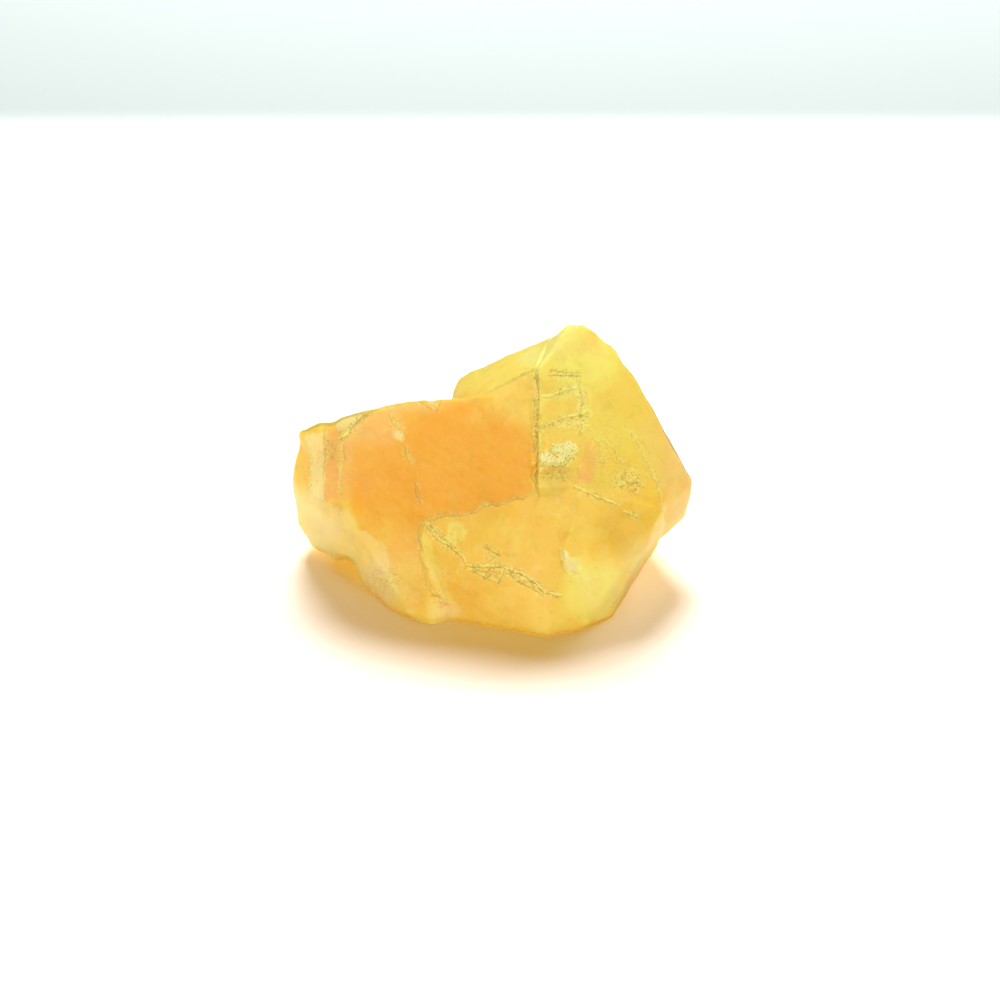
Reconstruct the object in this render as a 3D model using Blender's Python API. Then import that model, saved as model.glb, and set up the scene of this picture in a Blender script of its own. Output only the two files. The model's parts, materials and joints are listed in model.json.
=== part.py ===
"""Raw orange calcite: one natural stone, broken along its cleavage and resting on a flat break.

The stone is modelled as six blocks grown together. Each block is convex, so it is the hull of
its own corners, and its faces are the cleavage planes between them. The blocks are joined into
one solid, and small chips, ledges and shell-shaped hollows are then broken out of it.

Frame: +X runs along the stone to its right end, -Y is the side with the big main face, +Z is up,
and the origin is the bottom centre of the stone's bounding box.
"""

from dataclasses import dataclass
from math import cos, radians, sin

import bmesh
import bpy
from mathutils import Matrix, Vector

MM = 0.001                       # corners are written in millimetres, the model is in metres

# Driving dimensions, in millimetres
LENGTH = 61.0                    # left end to right tip
DEPTH = 39.6                     # front tip to back face
HEIGHT = 35.7                    # flat base to peak
WALL_X = 6.8                     # upright break between the main face and the right-hand tower

LEFT = -LENGTH / 2
RIGHT = LENGTH / 2
FRONT = -DEPTH / 2
BACK = DEPTH / 2
HIDDEN_X = WALL_X + 0.4          # how far the left-hand blocks run into the tower

FLAT_ANGLE = radians(0.6)        # faces that meet flatter than this are one face
STONE = "orange_calcite"


@dataclass(frozen=True)
class Plane:
    """A cleavage plane through a point, leaning out along a compass bearing and rising above it."""

    point: Vector
    bearing: float               # degrees from +X towards +Y, the way the face looks
    rise: float                  # degrees that its normal points above the horizon

    @property
    def normal(self) -> Vector:
        """The plane's outward direction."""
        flat, up = radians(self.bearing), radians(self.rise)
        return Vector((cos(flat) * cos(up), sin(flat) * cos(up), sin(up)))

    def at(self, x: float, z: float) -> Vector:
        """The plane's point at the given x and height, in millimetres."""
        normal = self.normal
        offset = normal.x * (x - self.point.x) + normal.z * (z - self.point.z)
        return Vector((x, self.point.y - offset / normal.y, z))

    def turn(self, spin: float) -> Matrix:
        """The rotation that lays a cutter's local Z on the normal and its local X along the face."""
        along = Vector((0, 0, 1)).cross(self.normal).normalized()
        up_face = self.normal.cross(along)
        lie = Matrix((along, up_face, self.normal)).transposed().to_4x4()
        return lie @ Matrix.Rotation(radians(spin), 4, "Z")


MAIN_FACE = Plane(Vector((-0.5, 1.6, 28.1)), bearing=-97, rise=28)
LEFT_FACE = Plane(Vector((-24.0, 0.7, 18.1)), bearing=-128, rise=22)
TOWER_FACE = Plane(Vector((12.3, -4.0, 20.5)), bearing=-80, rise=32)
LOBE_FACE = Plane(Vector((0.9, -9.5, 11.2)), bearing=-106, rise=43)
CREST_BACK_FACE = Plane(Vector((-4.0, 10.0, 21.9)), bearing=93, rise=53)
BACK_FACE = Plane(Vector((-8.3, 15.3, 15.7)), bearing=97, rise=31)
BACK_LOBE_FACE = Plane(Vector((4.7, 19.3, 13.3)), bearing=92, rise=3)
TOWER_BACK_FACE = Plane(Vector((18.8, 12.0, 22.6)), bearing=40, rise=19)


# The blocks -----------------------------------------------------------------------------------

def slab_corners() -> list[Vector]:
    """The left-hand slab: the flat main face, the crest above it and the blunt left end."""
    main_face = [MAIN_FACE.at(x, z) for x, z in (
        (-21, 22.9), (-17.5, 25.7), (-13, 26.9), (-6, 27.8), (-0.5, 28.1),
        (HIDDEN_X, 28.4), (HIDDEN_X, 0), (-14.8, 0), (-22, 12.2))]
    left_end = [(-23.3, 5, 21.8), (-29, 5, 19.2), (LEFT, 5, 10.5), (-30, 3, 3.7)]
    undercut = [(-28, 0, 1.8), (-22.6, -1.6, 0.5), (-20, -5.7, 0), (-17, -10.9, 0)]
    behind = [(-14, 12, 20), (-25, 12, 13), (-26, 12, 3), (-22, 8, 0),
              (-19, 18, 9), (-15, 18, 0), (8, 16, 18), (10, 19, 0)]
    return main_face + left_end + undercut + behind


def foot_corners() -> list[Vector]:
    """The low wedge that runs out from under the main face, to the left of the lobe."""
    on_face = [MAIN_FACE.at(-19.5, 8), MAIN_FACE.at(-10.4, 9.8)]
    front = [(-9.2, -11.6, 5.3), (-17, -10.9, 0), (-14, -13.5, 0), (-11.5, -15.6, 0),
             (-8.5, -16.2, 0), (-5.6, -15.1, 0)]
    inside = [(-18, -4, 0), (0, -4, 0), (0, -5, 10)]
    return on_face + front + inside


def tower_corners() -> list[Vector]:
    """The right-hand tower: the peak, its long sloping face and the overhanging right tip."""
    wall = [(WALL_X, 2.6, 32.6), (WALL_X, -6.6, 17.9), (WALL_X, -7, 12), (WALL_X, -6, 0),
            (WALL_X, 18, 0), (WALL_X, 15, 26)]
    peak = [(8.7, 9.5, 33.4), (11.2, 9, HEIGHT), (13.8, 9, 35.2)]
    shoulder = [(17.8, 8.5, 31.5), (21.5, 6.5, 27.1), (25.1, 4, 22)]
    right_end = [(RIGHT, 3, 12.8), (28.8, 0, 7.7), (26, -2, 5.1), (24.1, -3.4, 16.3),
                 (25, -6, 13.1), (23.3, -8, 11), (22, 2, 0), (20, -6, 0)]
    behind = [(14, 18, 22), (22, 15, 10), (20, 14, 0)]
    return wall + peak + shoulder + right_end + behind


def lobe_corners() -> list[Vector]:
    """The lobe in front: two slabs that meet in a slanting ridge, out to the front tip."""
    foot_of_main_face = [MAIN_FACE.at(x, z) for x, z in ((-10, 10.9), (WALL_X, 17))]
    left_edge = [(-11, -7.8, 9.4), (-9.2, -11.4, 4.7), (-6.4, -14.1, 0), (-6, -15.7, 0)]
    ridge = [(1.5, -14.2, 6.6), (8.2, -15.8, 5.6), (12.1, -6.2, 17.5), (25, -6, 13.2)]
    toe = [(8.5, FRONT, 0), (12.9, -18.2, 0), (16.2, -15.5, 2.8), (17.8, -15.1, 0),
           (21, -7.4, 0), (24, 0, 0)]
    inside = [(0, 6, 0), (20, 8, 0), (12, 0, 17), (0, -1, 12)]
    return foot_of_main_face + left_edge + ridge + toe + inside


def flare_corners() -> list[Vector]:
    """The thin wedge on the lobe's right, between its ridge and its right-hand edge."""
    return [(10.3, -12.9, 10.4), (15.1, -14.6, 6.4), (16.2, -15.7, 2.8), (24.2, -7, 12.4),
            (12, -8, 14), (12, -8, 4), (20, -7, 4)]


def back_lobe_corners() -> list[Vector]:
    """The higher lobe behind the crest, leaning against the tower."""
    on_face = [MAIN_FACE.at(x, z) for x, z in (
        (-3.6, 27.6), (2.3, 29.7), (6.6, 32.4), (HIDDEN_X, 28))]
    left = [(-6, 8, 24.7), (-5.3, 10, 25.7), (-3.7, 11, 26.7)]
    crest = [(1.6, 12, 28.4), (6.8, 11.5, 31.6), (8.7, 11, 33)]
    behind = [(-5, 17, 15), (2, 19, 18), (12, 19.2, 22), (-6, 16, 0), (0, BACK, 0), (12, BACK, 0)]
    return on_face + left + crest + behind


# What is broken out of them -------------------------------------------------------------------

@dataclass(frozen=True)
class Chip:
    """A flat-bottomed chip: a box of along x up x depth, sunk half its depth into a face."""

    name: str
    face: Plane
    x: float
    z: float
    size: tuple[float, float, float]
    spin: float = 0.0            # degrees, turning the chip within the face


@dataclass(frozen=True)
class Hollow:
    """A shell-shaped hollow: what a large ball leaves when it just breaks the surface."""

    name: str
    face: Plane
    x: float
    z: float
    radius: float
    depth: float


CHIPS = (
    Chip("step_high", TOWER_FACE, 9.6, 27.6, (5.4, 6.6, 0.9)),
    Chip("step_middle", TOWER_FACE, 10.3, 26.2, (4.2, 3.2, 1.7)),
    Chip("step_low", TOWER_FACE, 9.5, 23.4, (5.0, 2.2, 1.0)),
    Chip("glint_ledge", TOWER_FACE, 9.2, 19.1, (4.4, 2.2, 2.8), spin=-6),
    Chip("glint_pit", TOWER_FACE, 8.7, 18.4, (2.8, 1.7, 4.4), spin=8),
    Chip("right_spot", TOWER_FACE, 21.4, 17.0, (2.6, 2.6, 2.0), spin=20),
    Chip("ridge_notch_high", LOBE_FACE, -6.4, 8.9, (6.4, 0.8, 1.3), spin=-24),
    Chip("triangle_chip", LOBE_FACE, 0.4, 7.0, (3.2, 1.6, 1.4), spin=-20),
    Chip("ridge_notch_low", LOBE_FACE, 5.2, 5.9, (7.0, 0.9, 1.6), spin=-12),
    Chip("small_chip", LOBE_FACE, 0.4, 9.0, (1.7, 1.1, 1.0), spin=-40),
    Chip("crest_nick", MAIN_FACE, -9.5, 27.3, (1.5, 1.5, 3.0), spin=45),
    Chip("left_groove_outer", LEFT_FACE, -27.4, 15.4, (0.9, 16.0, 1.3), spin=4),
    Chip("left_groove_middle", LEFT_FACE, -25.4, 16.2, (1.1, 15.0, 1.1), spin=2),
    Chip("left_groove_inner", LEFT_FACE, -23.4, 17.4, (0.8, 13.0, 1.0), spin=-2),
    Chip("crest_back_step", CREST_BACK_FACE, -12.0, 24.2, (9.0, 2.6, 1.2), spin=-4),
    Chip("crest_back_pit", CREST_BACK_FACE, -5.0, 22.0, (2.4, 3.0, 1.4), spin=17),
    Chip("back_step_long", BACK_FACE, -9.5, 14.5, (12.0, 3.4, 1.6), spin=6),
    Chip("back_step_short", BACK_FACE, -12.5, 12.0, (5.0, 2.4, 2.6), spin=6),
    Chip("back_lobe_step", BACK_LOBE_FACE, 8.4, 14.2, (8.0, 7.0, 1.2), spin=-8),
    Chip("back_lobe_pit", BACK_LOBE_FACE, 4.0, 7.0, (3.0, 2.2, 1.6), spin=15),
    Chip("tower_back_step", TOWER_BACK_FACE, 20.5, 20.0, (4.0, 9.0, 1.4), spin=-16),
    Chip("tower_back_pit", TOWER_BACK_FACE, 17.0, 25.5, (2.6, 2.0, 1.4), spin=-16),
)

HOLLOWS = (
    Hollow("crest_back_hollow", CREST_BACK_FACE, -17.0, 21.0, radius=22.0, depth=0.9),
    Hollow("back_hollow", BACK_FACE, -6.5, 13.5, radius=16.0, depth=0.7),
    Hollow("back_lobe_hollow", BACK_LOBE_FACE, 1.5, 12.0, radius=16.0, depth=1.1),
    Hollow("tower_back_hollow", TOWER_BACK_FACE, 23.0, 13.5, radius=18.0, depth=1.2),
    Hollow("left_hollow", LEFT_FACE, -24.5, 9.0, radius=14.0, depth=0.6),
)
HOLLOW_SUBDIVISIONS = 5


# Building -------------------------------------------------------------------------------------

def clear_scene() -> None:
    """Remove every object that the file opened with."""
    for thing in list(bpy.data.objects):
        bpy.data.objects.remove(thing, do_unlink=True)


def new_collection(name: str) -> bpy.types.Collection:
    """Make a collection and link it to the scene."""
    collection = bpy.data.collections.new(name)
    bpy.context.scene.collection.children.link(collection)
    return collection


def calcite_material() -> bpy.types.Material:
    """Honey-orange calcite, waxy and a little see-through."""
    material = bpy.data.materials.new("calcite")
    material.use_nodes = True
    shader = material.node_tree.nodes["Principled BSDF"]
    shader.inputs["Base Color"].default_value = (0.90, 0.47, 0.10, 1.0)
    shader.inputs["Roughness"].default_value = 0.42
    shader.inputs["Metallic"].default_value = 0.0
    return material


def add_object(name: str, shape: bmesh.types.BMesh, home: bpy.types.Collection) -> bpy.types.Object:
    """Turn a bmesh in millimetres into an object in metres."""
    bmesh.ops.scale(shape, vec=(MM, MM, MM), verts=shape.verts)
    bmesh.ops.recalc_face_normals(shape, faces=shape.faces)
    mesh = bpy.data.meshes.new(name)
    shape.to_mesh(mesh)
    shape.free()
    thing = bpy.data.objects.new(name, mesh)
    home.objects.link(thing)
    return thing


def cleave(name: str, corners: list, home: bpy.types.Collection) -> bpy.types.Object:
    """Make one convex block: the hull of its corners, with flat faces made whole."""
    shape = bmesh.new()
    for corner in corners:
        shape.verts.new(corner)
    hull = bmesh.ops.convex_hull(shape, input=shape.verts)
    unused = {item for item in hull["geom_interior"] if isinstance(item, bmesh.types.BMVert)}
    bmesh.ops.delete(shape, geom=list(unused), context="VERTS")
    bmesh.ops.dissolve_limit(shape, angle_limit=FLAT_ANGLE, verts=shape.verts, edges=shape.edges)
    return add_object(name, shape, home)


def add_chip(chip: Chip, home: bpy.types.Collection) -> bpy.types.Object:
    """Make the box that breaks a chip out of its face."""
    shape = bmesh.new()
    place = Matrix.Translation(chip.face.at(chip.x, chip.z)) @ chip.face.turn(chip.spin)
    bmesh.ops.create_cube(shape, size=1.0, matrix=place @ Matrix.Diagonal((*chip.size, 1.0)))
    return add_object(chip.name, shape, home)


def add_hollow(hollow: Hollow, home: bpy.types.Collection) -> bpy.types.Object:
    """Make the ball that breaks a shell-shaped hollow."""
    face = hollow.face
    centre = face.at(hollow.x, hollow.z) + face.normal * (hollow.radius - hollow.depth)
    shape = bmesh.new()
    bmesh.ops.create_icosphere(shape, subdivisions=HOLLOW_SUBDIVISIONS, radius=hollow.radius,
                               matrix=Matrix.Translation(centre))
    return add_object(hollow.name, shape, home)


def join(stone: bpy.types.Object, tool: bpy.types.Object, operation: str) -> None:
    """Give the stone a Boolean that adds or breaks away the tool, and hide the tool."""
    boolean = stone.modifiers.new(tool.name, "BOOLEAN")
    boolean.operation = operation
    boolean.solver = "EXACT"
    boolean.object = tool
    tool.hide_render = True
    tool.display_type = "WIRE"


def build_stone() -> bpy.types.Object:
    """Join the blocks, break out the chips and hollows, and return the stone."""
    home = new_collection(STONE)
    tools = new_collection("cutters")
    stone = cleave(STONE, slab_corners(), home)
    stone.data.materials.append(calcite_material())
    blocks = {
        "foot": foot_corners(),
        "tower": tower_corners(),
        "lobe": lobe_corners(),
        "flare": flare_corners(),
        "back_lobe": back_lobe_corners(),
    }
    for name, corners in blocks.items():
        join(stone, cleave(name, corners, tools), "UNION")
    for chip in CHIPS:
        join(stone, add_chip(chip, tools), "DIFFERENCE")
    for hollow in HOLLOWS:
        join(stone, add_hollow(hollow, tools), "DIFFERENCE")
    return stone


def main() -> None:
    """Build the stone in an empty scene."""
    clear_scene()
    build_stone()


if __name__ == "__main__":
    main()
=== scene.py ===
"""Raw orange calcite: the finished surface of one natural stone, on a pale studio floor.

The stone is six convex blocks grown together, as in its solid. A capsule of rays leaves a short
core inside it, and each ray's last way out of the blocks is a point of the surface. Steps,
cracks, chips, rough breaks and shell-shaped hollows are then sunk into that surface, and masks
of colour and polish, painted highlights and painted shade among them, are kept with its points
for the material to read.

Lengths are millimetres until the mesh is made, which is in metres. +X runs along the stone to
its right end, -Y is the side with the big main face and +Z is up.
"""

import json
import logging
import math
from dataclasses import dataclass, field
from enum import Enum
from itertools import combinations
from typing import Any

import bpy
import numpy as np
from mathutils import Matrix, Vector

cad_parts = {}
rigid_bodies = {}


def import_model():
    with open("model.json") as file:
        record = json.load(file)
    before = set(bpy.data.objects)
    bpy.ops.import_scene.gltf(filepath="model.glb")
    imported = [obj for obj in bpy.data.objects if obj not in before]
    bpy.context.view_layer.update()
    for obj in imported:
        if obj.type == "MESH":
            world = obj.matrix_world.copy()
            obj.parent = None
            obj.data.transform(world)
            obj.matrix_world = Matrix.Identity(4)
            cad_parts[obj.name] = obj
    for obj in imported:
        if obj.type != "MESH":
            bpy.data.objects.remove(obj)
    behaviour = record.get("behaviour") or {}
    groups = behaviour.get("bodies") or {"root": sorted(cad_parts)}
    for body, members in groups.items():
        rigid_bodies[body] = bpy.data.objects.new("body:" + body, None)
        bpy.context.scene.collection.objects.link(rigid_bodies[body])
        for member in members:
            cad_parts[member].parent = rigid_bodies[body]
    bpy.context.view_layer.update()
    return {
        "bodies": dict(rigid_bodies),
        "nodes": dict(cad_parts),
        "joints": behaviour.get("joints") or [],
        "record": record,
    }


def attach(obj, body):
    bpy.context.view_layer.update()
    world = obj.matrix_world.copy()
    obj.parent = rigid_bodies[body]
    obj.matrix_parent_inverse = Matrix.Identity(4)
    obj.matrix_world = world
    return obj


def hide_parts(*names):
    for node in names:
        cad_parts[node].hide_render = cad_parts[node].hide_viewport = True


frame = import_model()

log = logging.getLogger("orange_calcite")

Array = np.ndarray
Place = tuple[float, float, float]
Colour = tuple[float, float, float, float]

NODE = "orange_calcite"
SKIN = "orange_calcite_skin"
BODY = "root"

MM = 0.001

# Driving sizes of the stone, in millimetres
LENGTH = 61.0
DEPTH = 39.6
HEIGHT = 35.7
WALL_X = 6.8                     # upright break between the main face and the right-hand tower
HIDDEN_X = WALL_X + 0.4          # how far the left-hand blocks run into the tower

LEFT = -LENGTH / 2
RIGHT = LENGTH / 2
FRONT = -DEPTH / 2
BACK = DEPTH / 2


# Small pieces of arithmetic

def smooth_step(value: Array, low: float, high: float) -> Array:
    """Rise smoothly from 0 to 1 as a value passes from low to high.

    Args:
        value: The numbers to shape.
        low: Where the rise starts.
        high: Where it ends; below low, the step falls instead.

    Returns:
        3t² - 2t³, with t the clipped share of the way from low to high.
    """
    share = np.clip((value - low) / (high - low), 0.0, 1.0)
    return share * share * (3.0 - 2.0 * share)


def soft_min(first: Array, second: Array, reach: float) -> Array:
    """Take the smaller of two numbers, rounding the corner where they cross.

    Args:
        first: One set of numbers.
        second: The other set.
        reach: How far apart two numbers still round each other.

    Returns:
        The minimum, less h²·reach/4, with h the share of the reach that their gap leaves.
    """
    overlap = np.clip(reach - np.abs(first - second), 0.0, None) / reach
    return np.minimum(first, second) - overlap * overlap * reach / 4.0


def unit(vectors: Array) -> Array:
    """Scale vectors to length one."""
    return vectors / np.linalg.norm(vectors, axis=-1, keepdims=True)


@dataclass(frozen=True)
class Noise:
    """Seeded gradient noise in space, about -1 to 1."""

    seed: int
    size: float                  # the width of the widest cells, in millimetres
    octaves: int = 3             # how many layers are added up

    SLOPES = 256                 # how many slopes the lattice's corners share
    PRIMES = (73856093, 19349663, 83492791)
    FOLD = 11                    # how many bits a corner's number is folded by
    NEXT = 17                    # from one octave's seed to the next one's
    GAIN = 1.7                   # brings a single octave to about -1 to 1

    def octave(self, points: Array, step: int) -> Array:
        """Give each lattice corner a fixed slope, and blend them by 6t⁵ - 15t⁴ + 10t³.

        Args:
            points: Places in millimetres, one row each.
            step: Which octave it is; each is half as wide and as strong as the one before.

        Returns:
            One number for each place.
        """
        dice = np.random.default_rng(self.seed + self.NEXT * step)
        slopes = unit(dice.normal(size=(self.SLOPES, 3)))
        place = points / (self.size / 2 ** step)
        cell = np.floor(place).astype(np.int64)
        inside = place - cell
        blend = inside ** 3 * (inside * (inside * 6.0 - 15.0) + 10.0)
        total = np.zeros(len(points))
        for corner in np.ndindex(2, 2, 2):
            at = (cell + corner) * self.PRIMES
            mixed = at[:, 0] ^ at[:, 1] ^ at[:, 2]
            slope = slopes[(mixed ^ (mixed >> self.FOLD)) % self.SLOPES]
            weight = np.prod(np.where(corner, blend, 1.0 - blend), axis=1)
            total += weight * np.sum(slope * (inside - corner), axis=1)
        return total * self.GAIN / 2 ** step

    def __call__(self, points: Array) -> Array:
        """Add up the octaves at places in millimetres, one row each."""
        return np.sum([self.octave(points, step) for step in range(self.octaves)], axis=0)


# Faces and blocks

@dataclass(frozen=True)
class Face:
    """A cleavage face through a point, looking along a compass bearing and rising above it."""

    point: Place
    bearing: float               # degrees from +X towards +Y
    rise: float                  # degrees that the normal points above the horizon

    @property
    def normal(self) -> Array:
        """The way the face looks."""
        flat, up = math.radians(self.bearing), math.radians(self.rise)
        return np.array([math.cos(flat) * math.cos(up), math.sin(flat) * math.cos(up),
                         math.sin(up)])

    def at(self, x: float, z: float) -> Place:
        """The face's point at a given x and height.

        Args:
            x: Where along the stone.
            z: How high.

        Returns:
            The point.
        """
        normal = self.normal
        offset = normal[0] * (x - self.point[0]) + normal[2] * (z - self.point[2])
        return (x, self.point[1] - offset / normal[1], z)

    def local(self, points: Array, x: float, z: float) -> tuple[Array, Array, Array]:
        """Measure points from the face's own point at x and z.

        Args:
            points: Places, one row each.
            x: Where on the face to measure from.
            z: Its height.

        Returns:
            Distances along the face to its right, up the face, and out of it.
        """
        normal = self.normal
        along = unit(np.cross([0.0, 0.0, 1.0], normal))
        offset = points - np.array(self.at(x, z))
        return offset @ along, offset @ np.cross(normal, along), offset @ normal


MAIN_FACE = Face((-0.5, 1.6, 28.1), bearing=-97, rise=28)
LEFT_FACE = Face((-24.0, 0.7, 18.1), bearing=-128, rise=22)
TOWER_FACE = Face((12.3, -4.0, 20.5), bearing=-80, rise=32)
LOBE_FACE = Face((0.9, -9.5, 11.2), bearing=-106, rise=43)
CREST_BACK_FACE = Face((-4.0, 10.0, 21.9), bearing=93, rise=53)
BACK_FACE = Face((-8.3, 15.3, 15.7), bearing=97, rise=31)
BACK_LOBE_FACE = Face((4.7, 19.3, 13.3), bearing=92, rise=3)
TOWER_BACK_FACE = Face((18.8, 12.0, 22.6), bearing=40, rise=19)


@dataclass(frozen=True)
class Block:
    """A convex block: the hull of its corners."""

    corners: tuple[Place, ...]
    blend: float = 0.25          # how softly it runs into the blocks before it
    loose: float = 0.0           # how much more softly it does so at its right-hand end
    rounding: float = 0.7        # how far from an edge its faces start to round it

    FLAT = math.cos(math.radians(0.6))   # faces that meet flatter than this are one face
    TOLERANCE = 1e-6             # millimetres off a plane that still count as on it

    def planes(self) -> tuple[Array, Array]:
        """Find the hull's faces: planes through three corners with all the others on one side.

        Returns:
            Unit normals, one row for each face, and their offsets from the origin.
        """
        corners = np.array(self.corners)
        first, second, third = corners[np.array(list(combinations(range(len(corners)), 3))).T]
        normals = np.cross(second - first, third - first)
        size = np.linalg.norm(normals, axis=1)
        real = size > self.TOLERANCE
        normals, first = normals[real] / size[real, None], first[real]
        offsets = np.sum(normals * first, axis=1)
        heights = normals @ corners.T - offsets[:, None]
        below = heights.max(axis=1) < self.TOLERANCE
        above = heights.min(axis=1) > -self.TOLERANCE
        sign = np.where(below, 1.0, -1.0)[below | above]
        normals = normals[below | above] * sign[:, None]
        offsets = offsets[below | above] * sign
        kept: list[int] = []
        for index, normal in enumerate(normals):
            if all(normal @ normals[other] < self.FLAT for other in kept):
                kept.append(index)
        return normals[kept], offsets[kept]


def slab() -> Block:
    """The left-hand slab: the flat main face, the crest above it and the blunt left end.

    Returns:
        The slab.
    """
    main_face = tuple(MAIN_FACE.at(x, z) for x, z in (
        (-21, 22.9), (-17.5, 25.7), (-13, 26.9), (-6, 27.8), (-0.5, 28.1),
        (HIDDEN_X, 28.4), (HIDDEN_X, 0), (-14.8, 0), (-22, 12.2)))
    left_end = ((-23.3, 5, 21.8), (-29, 5, 19.2), (LEFT, 5, 10.5), (-30, 3, 3.7))
    undercut = ((-28, 0, 1.8), (-22.6, -1.6, 0.5), (-20, -5.7, 0), (-17, -10.9, 0))
    behind = ((-14, 12, 20), (-25, 12, 13), (-26, 12, 3), (-22, 8, 0),
              (-19, 18, 9), (-15, 18, 0), (8, 16, 18), (10, 19, 0))
    return Block(main_face + left_end + undercut + behind)


def foot() -> Block:
    """The low wedge that runs out from under the main face, to the left of the lobe.

    Returns:
        The wedge.
    """
    on_face = (MAIN_FACE.at(-19.5, 8), MAIN_FACE.at(-10.4, 9.8))
    front = ((-9.2, -11.6, 5.3), (-17, -10.9, 0), (-14, -13.5, 0), (-11.5, -15.6, 0),
             (-8.5, -16.2, 0), (-5.6, -15.1, 0))
    inside = ((-18, -4, 0), (0, -4, 0), (0, -5, 10))
    return Block(on_face + front + inside)


def tower() -> Block:
    """The right-hand tower: the peak, its long sloping face and the overhanging right tip.

    Returns:
        The tower.
    """
    wall = ((WALL_X, 2.6, 32.6), (WALL_X, -6.6, 17.9), (WALL_X, -7, 12), (WALL_X, -6, 0),
            (WALL_X, 18, 0), (WALL_X, 15, 26))
    peak = ((8.7, 9.5, 33.4), (11.2, 9, HEIGHT), (13.8, 9, 35.2))
    shoulder = ((17.8, 8.5, 31.5), (21.5, 6.5, 27.1), (25.1, 4, 22))
    right_end = ((RIGHT, 3, 12.8), (28.8, 0, 7.7), (26, -2, 5.1), (24.1, -3.4, 16.3),
                 (25, -6, 13.1), (23.3, -8, 11), (22, 2, 0), (20, -6, 0))
    behind = ((14, 18, 22), (22, 15, 10), (20, 14, 0))
    return Block(wall + peak + shoulder + right_end + behind)


def lobe() -> Block:
    """The lobe in front: two slabs that meet in a slanting ridge, out to the front tip.

    Returns:
        The lobe.
    """
    foot_of_main_face = tuple(MAIN_FACE.at(x, z) for x, z in ((-10, 10.9), (WALL_X, 17)))
    left_edge = ((-11, -7.8, 9.4), (-9.2, -11.4, 4.7), (-6.4, -14.1, 0), (-6, -15.7, 0))
    ridge = ((1.5, -14.2, 6.6), (8.2, -15.8, 5.6), (12.1, -6.2, 17.5), (25, -6, 13.2))
    toe = ((8.5, FRONT, 0), (12.9, -18.2, 0), (16.2, -15.5, 2.8), (17.8, -15.1, 0),
           (21, -7.4, 0), (24, 0, 0))
    inside = ((0, 6, 0), (20, 8, 0), (12, 0, 17), (0, -1, 12))
    return Block(foot_of_main_face + left_edge + ridge + toe + inside, loose=2.8)


def flare() -> Block:
    """The thin wedge on the lobe's right, between its ridge and its right-hand edge.

    Returns:
        The wedge.
    """
    return Block((
        (10.3, -12.9, 10.4), (15.1, -14.6, 6.4), (16.2, -15.7, 2.8), (24.2, -7, 12.4),
        (13.7, -3.1, 17.6), (24.2, -4.6, 13.9), (12, -8, 4), (20, -7, 4)), blend=2.4, rounding=2.4)


def back_lobe() -> Block:
    """The higher lobe behind the crest, leaning against the tower.

    Returns:
        The lobe.
    """
    on_face = tuple(MAIN_FACE.at(x, z) for x, z in (
        (-3.6, 27.6), (2.3, 29.7), (6.6, 32.4), (HIDDEN_X, 28)))
    left = ((-6, 8, 24.7), (-5.3, 10, 25.7), (-3.7, 11, 26.7))
    crest = ((1.6, 12, 28.4), (6.8, 11.5, 31.6), (8.7, 11, 33))
    behind = ((-5, 17, 15), (2, 19, 18), (12, 19.2, 22), (-6, 16, 0), (0, BACK, 0), (12, BACK, 0))
    return Block(on_face + left + crest + behind, blend=1.2)


# Marks sunk into the surface

class Tone(Enum):
    """What the material grades between, each kept as a mask on the mesh."""

    AMBER = "amber"
    APRICOT = "apricot"
    LEMON = "lemon"
    CREAM = "cream"
    GLINT = "glint"              # painted glint: sparkle where broken crystal faces the light
    GRAIN = "grain"              # rough, speckled breaks
    SHADE = "shade"              # painted shade in hollows and seams, and over places that the lamps light too brightly


NEAR_FACE = 3.2                  # a mark reaches this far in front of and behind its own face
WHOLE = 0.6                      # the share of that reach within which it is whole
WANDER = 401                     # the seed that frays the marks' edges
CLEAVAGE_LEAN = 0.27             # how far the sides of a break lean for each unit of height
BACK_EDGE = 0.7                  # the sides of chips on the back, where the grid is coarser
BACK_RAGGED = 0.45               # how far noise moves their outlines


@dataclass(frozen=True)
class Mark:
    """Something broken out of a face."""

    face: Face

    OVER = 2.0                   # how far noise can carry a mark past its own size

    @property
    def middle(self) -> Array:
        """A point that the mark lies around."""
        raise NotImplementedError

    @property
    def extent(self) -> float:
        """How far from its middle the mark can reach along the face."""
        raise NotImplementedError

    def rows(self, points: Array) -> Array:
        """Which points are near enough for the mark to change them."""
        far = np.linalg.norm(points - self.middle, axis=1)
        return np.flatnonzero(far < math.hypot(self.extent, NEAR_FACE))

    def near(self, out: Array) -> Array:
        """Fade the mark away from its own face."""
        return smooth_step(np.abs(out), NEAR_FACE, NEAR_FACE * WHOLE)

    def depth(self, points: Array) -> Array:
        """How far the mark sinks the surface at each point, in millimetres."""
        raise NotImplementedError

    def tints(self, points: Array) -> dict[Tone, Array]:
        """The tones that the mark adds, each with its amount at each point."""
        return {}


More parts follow.
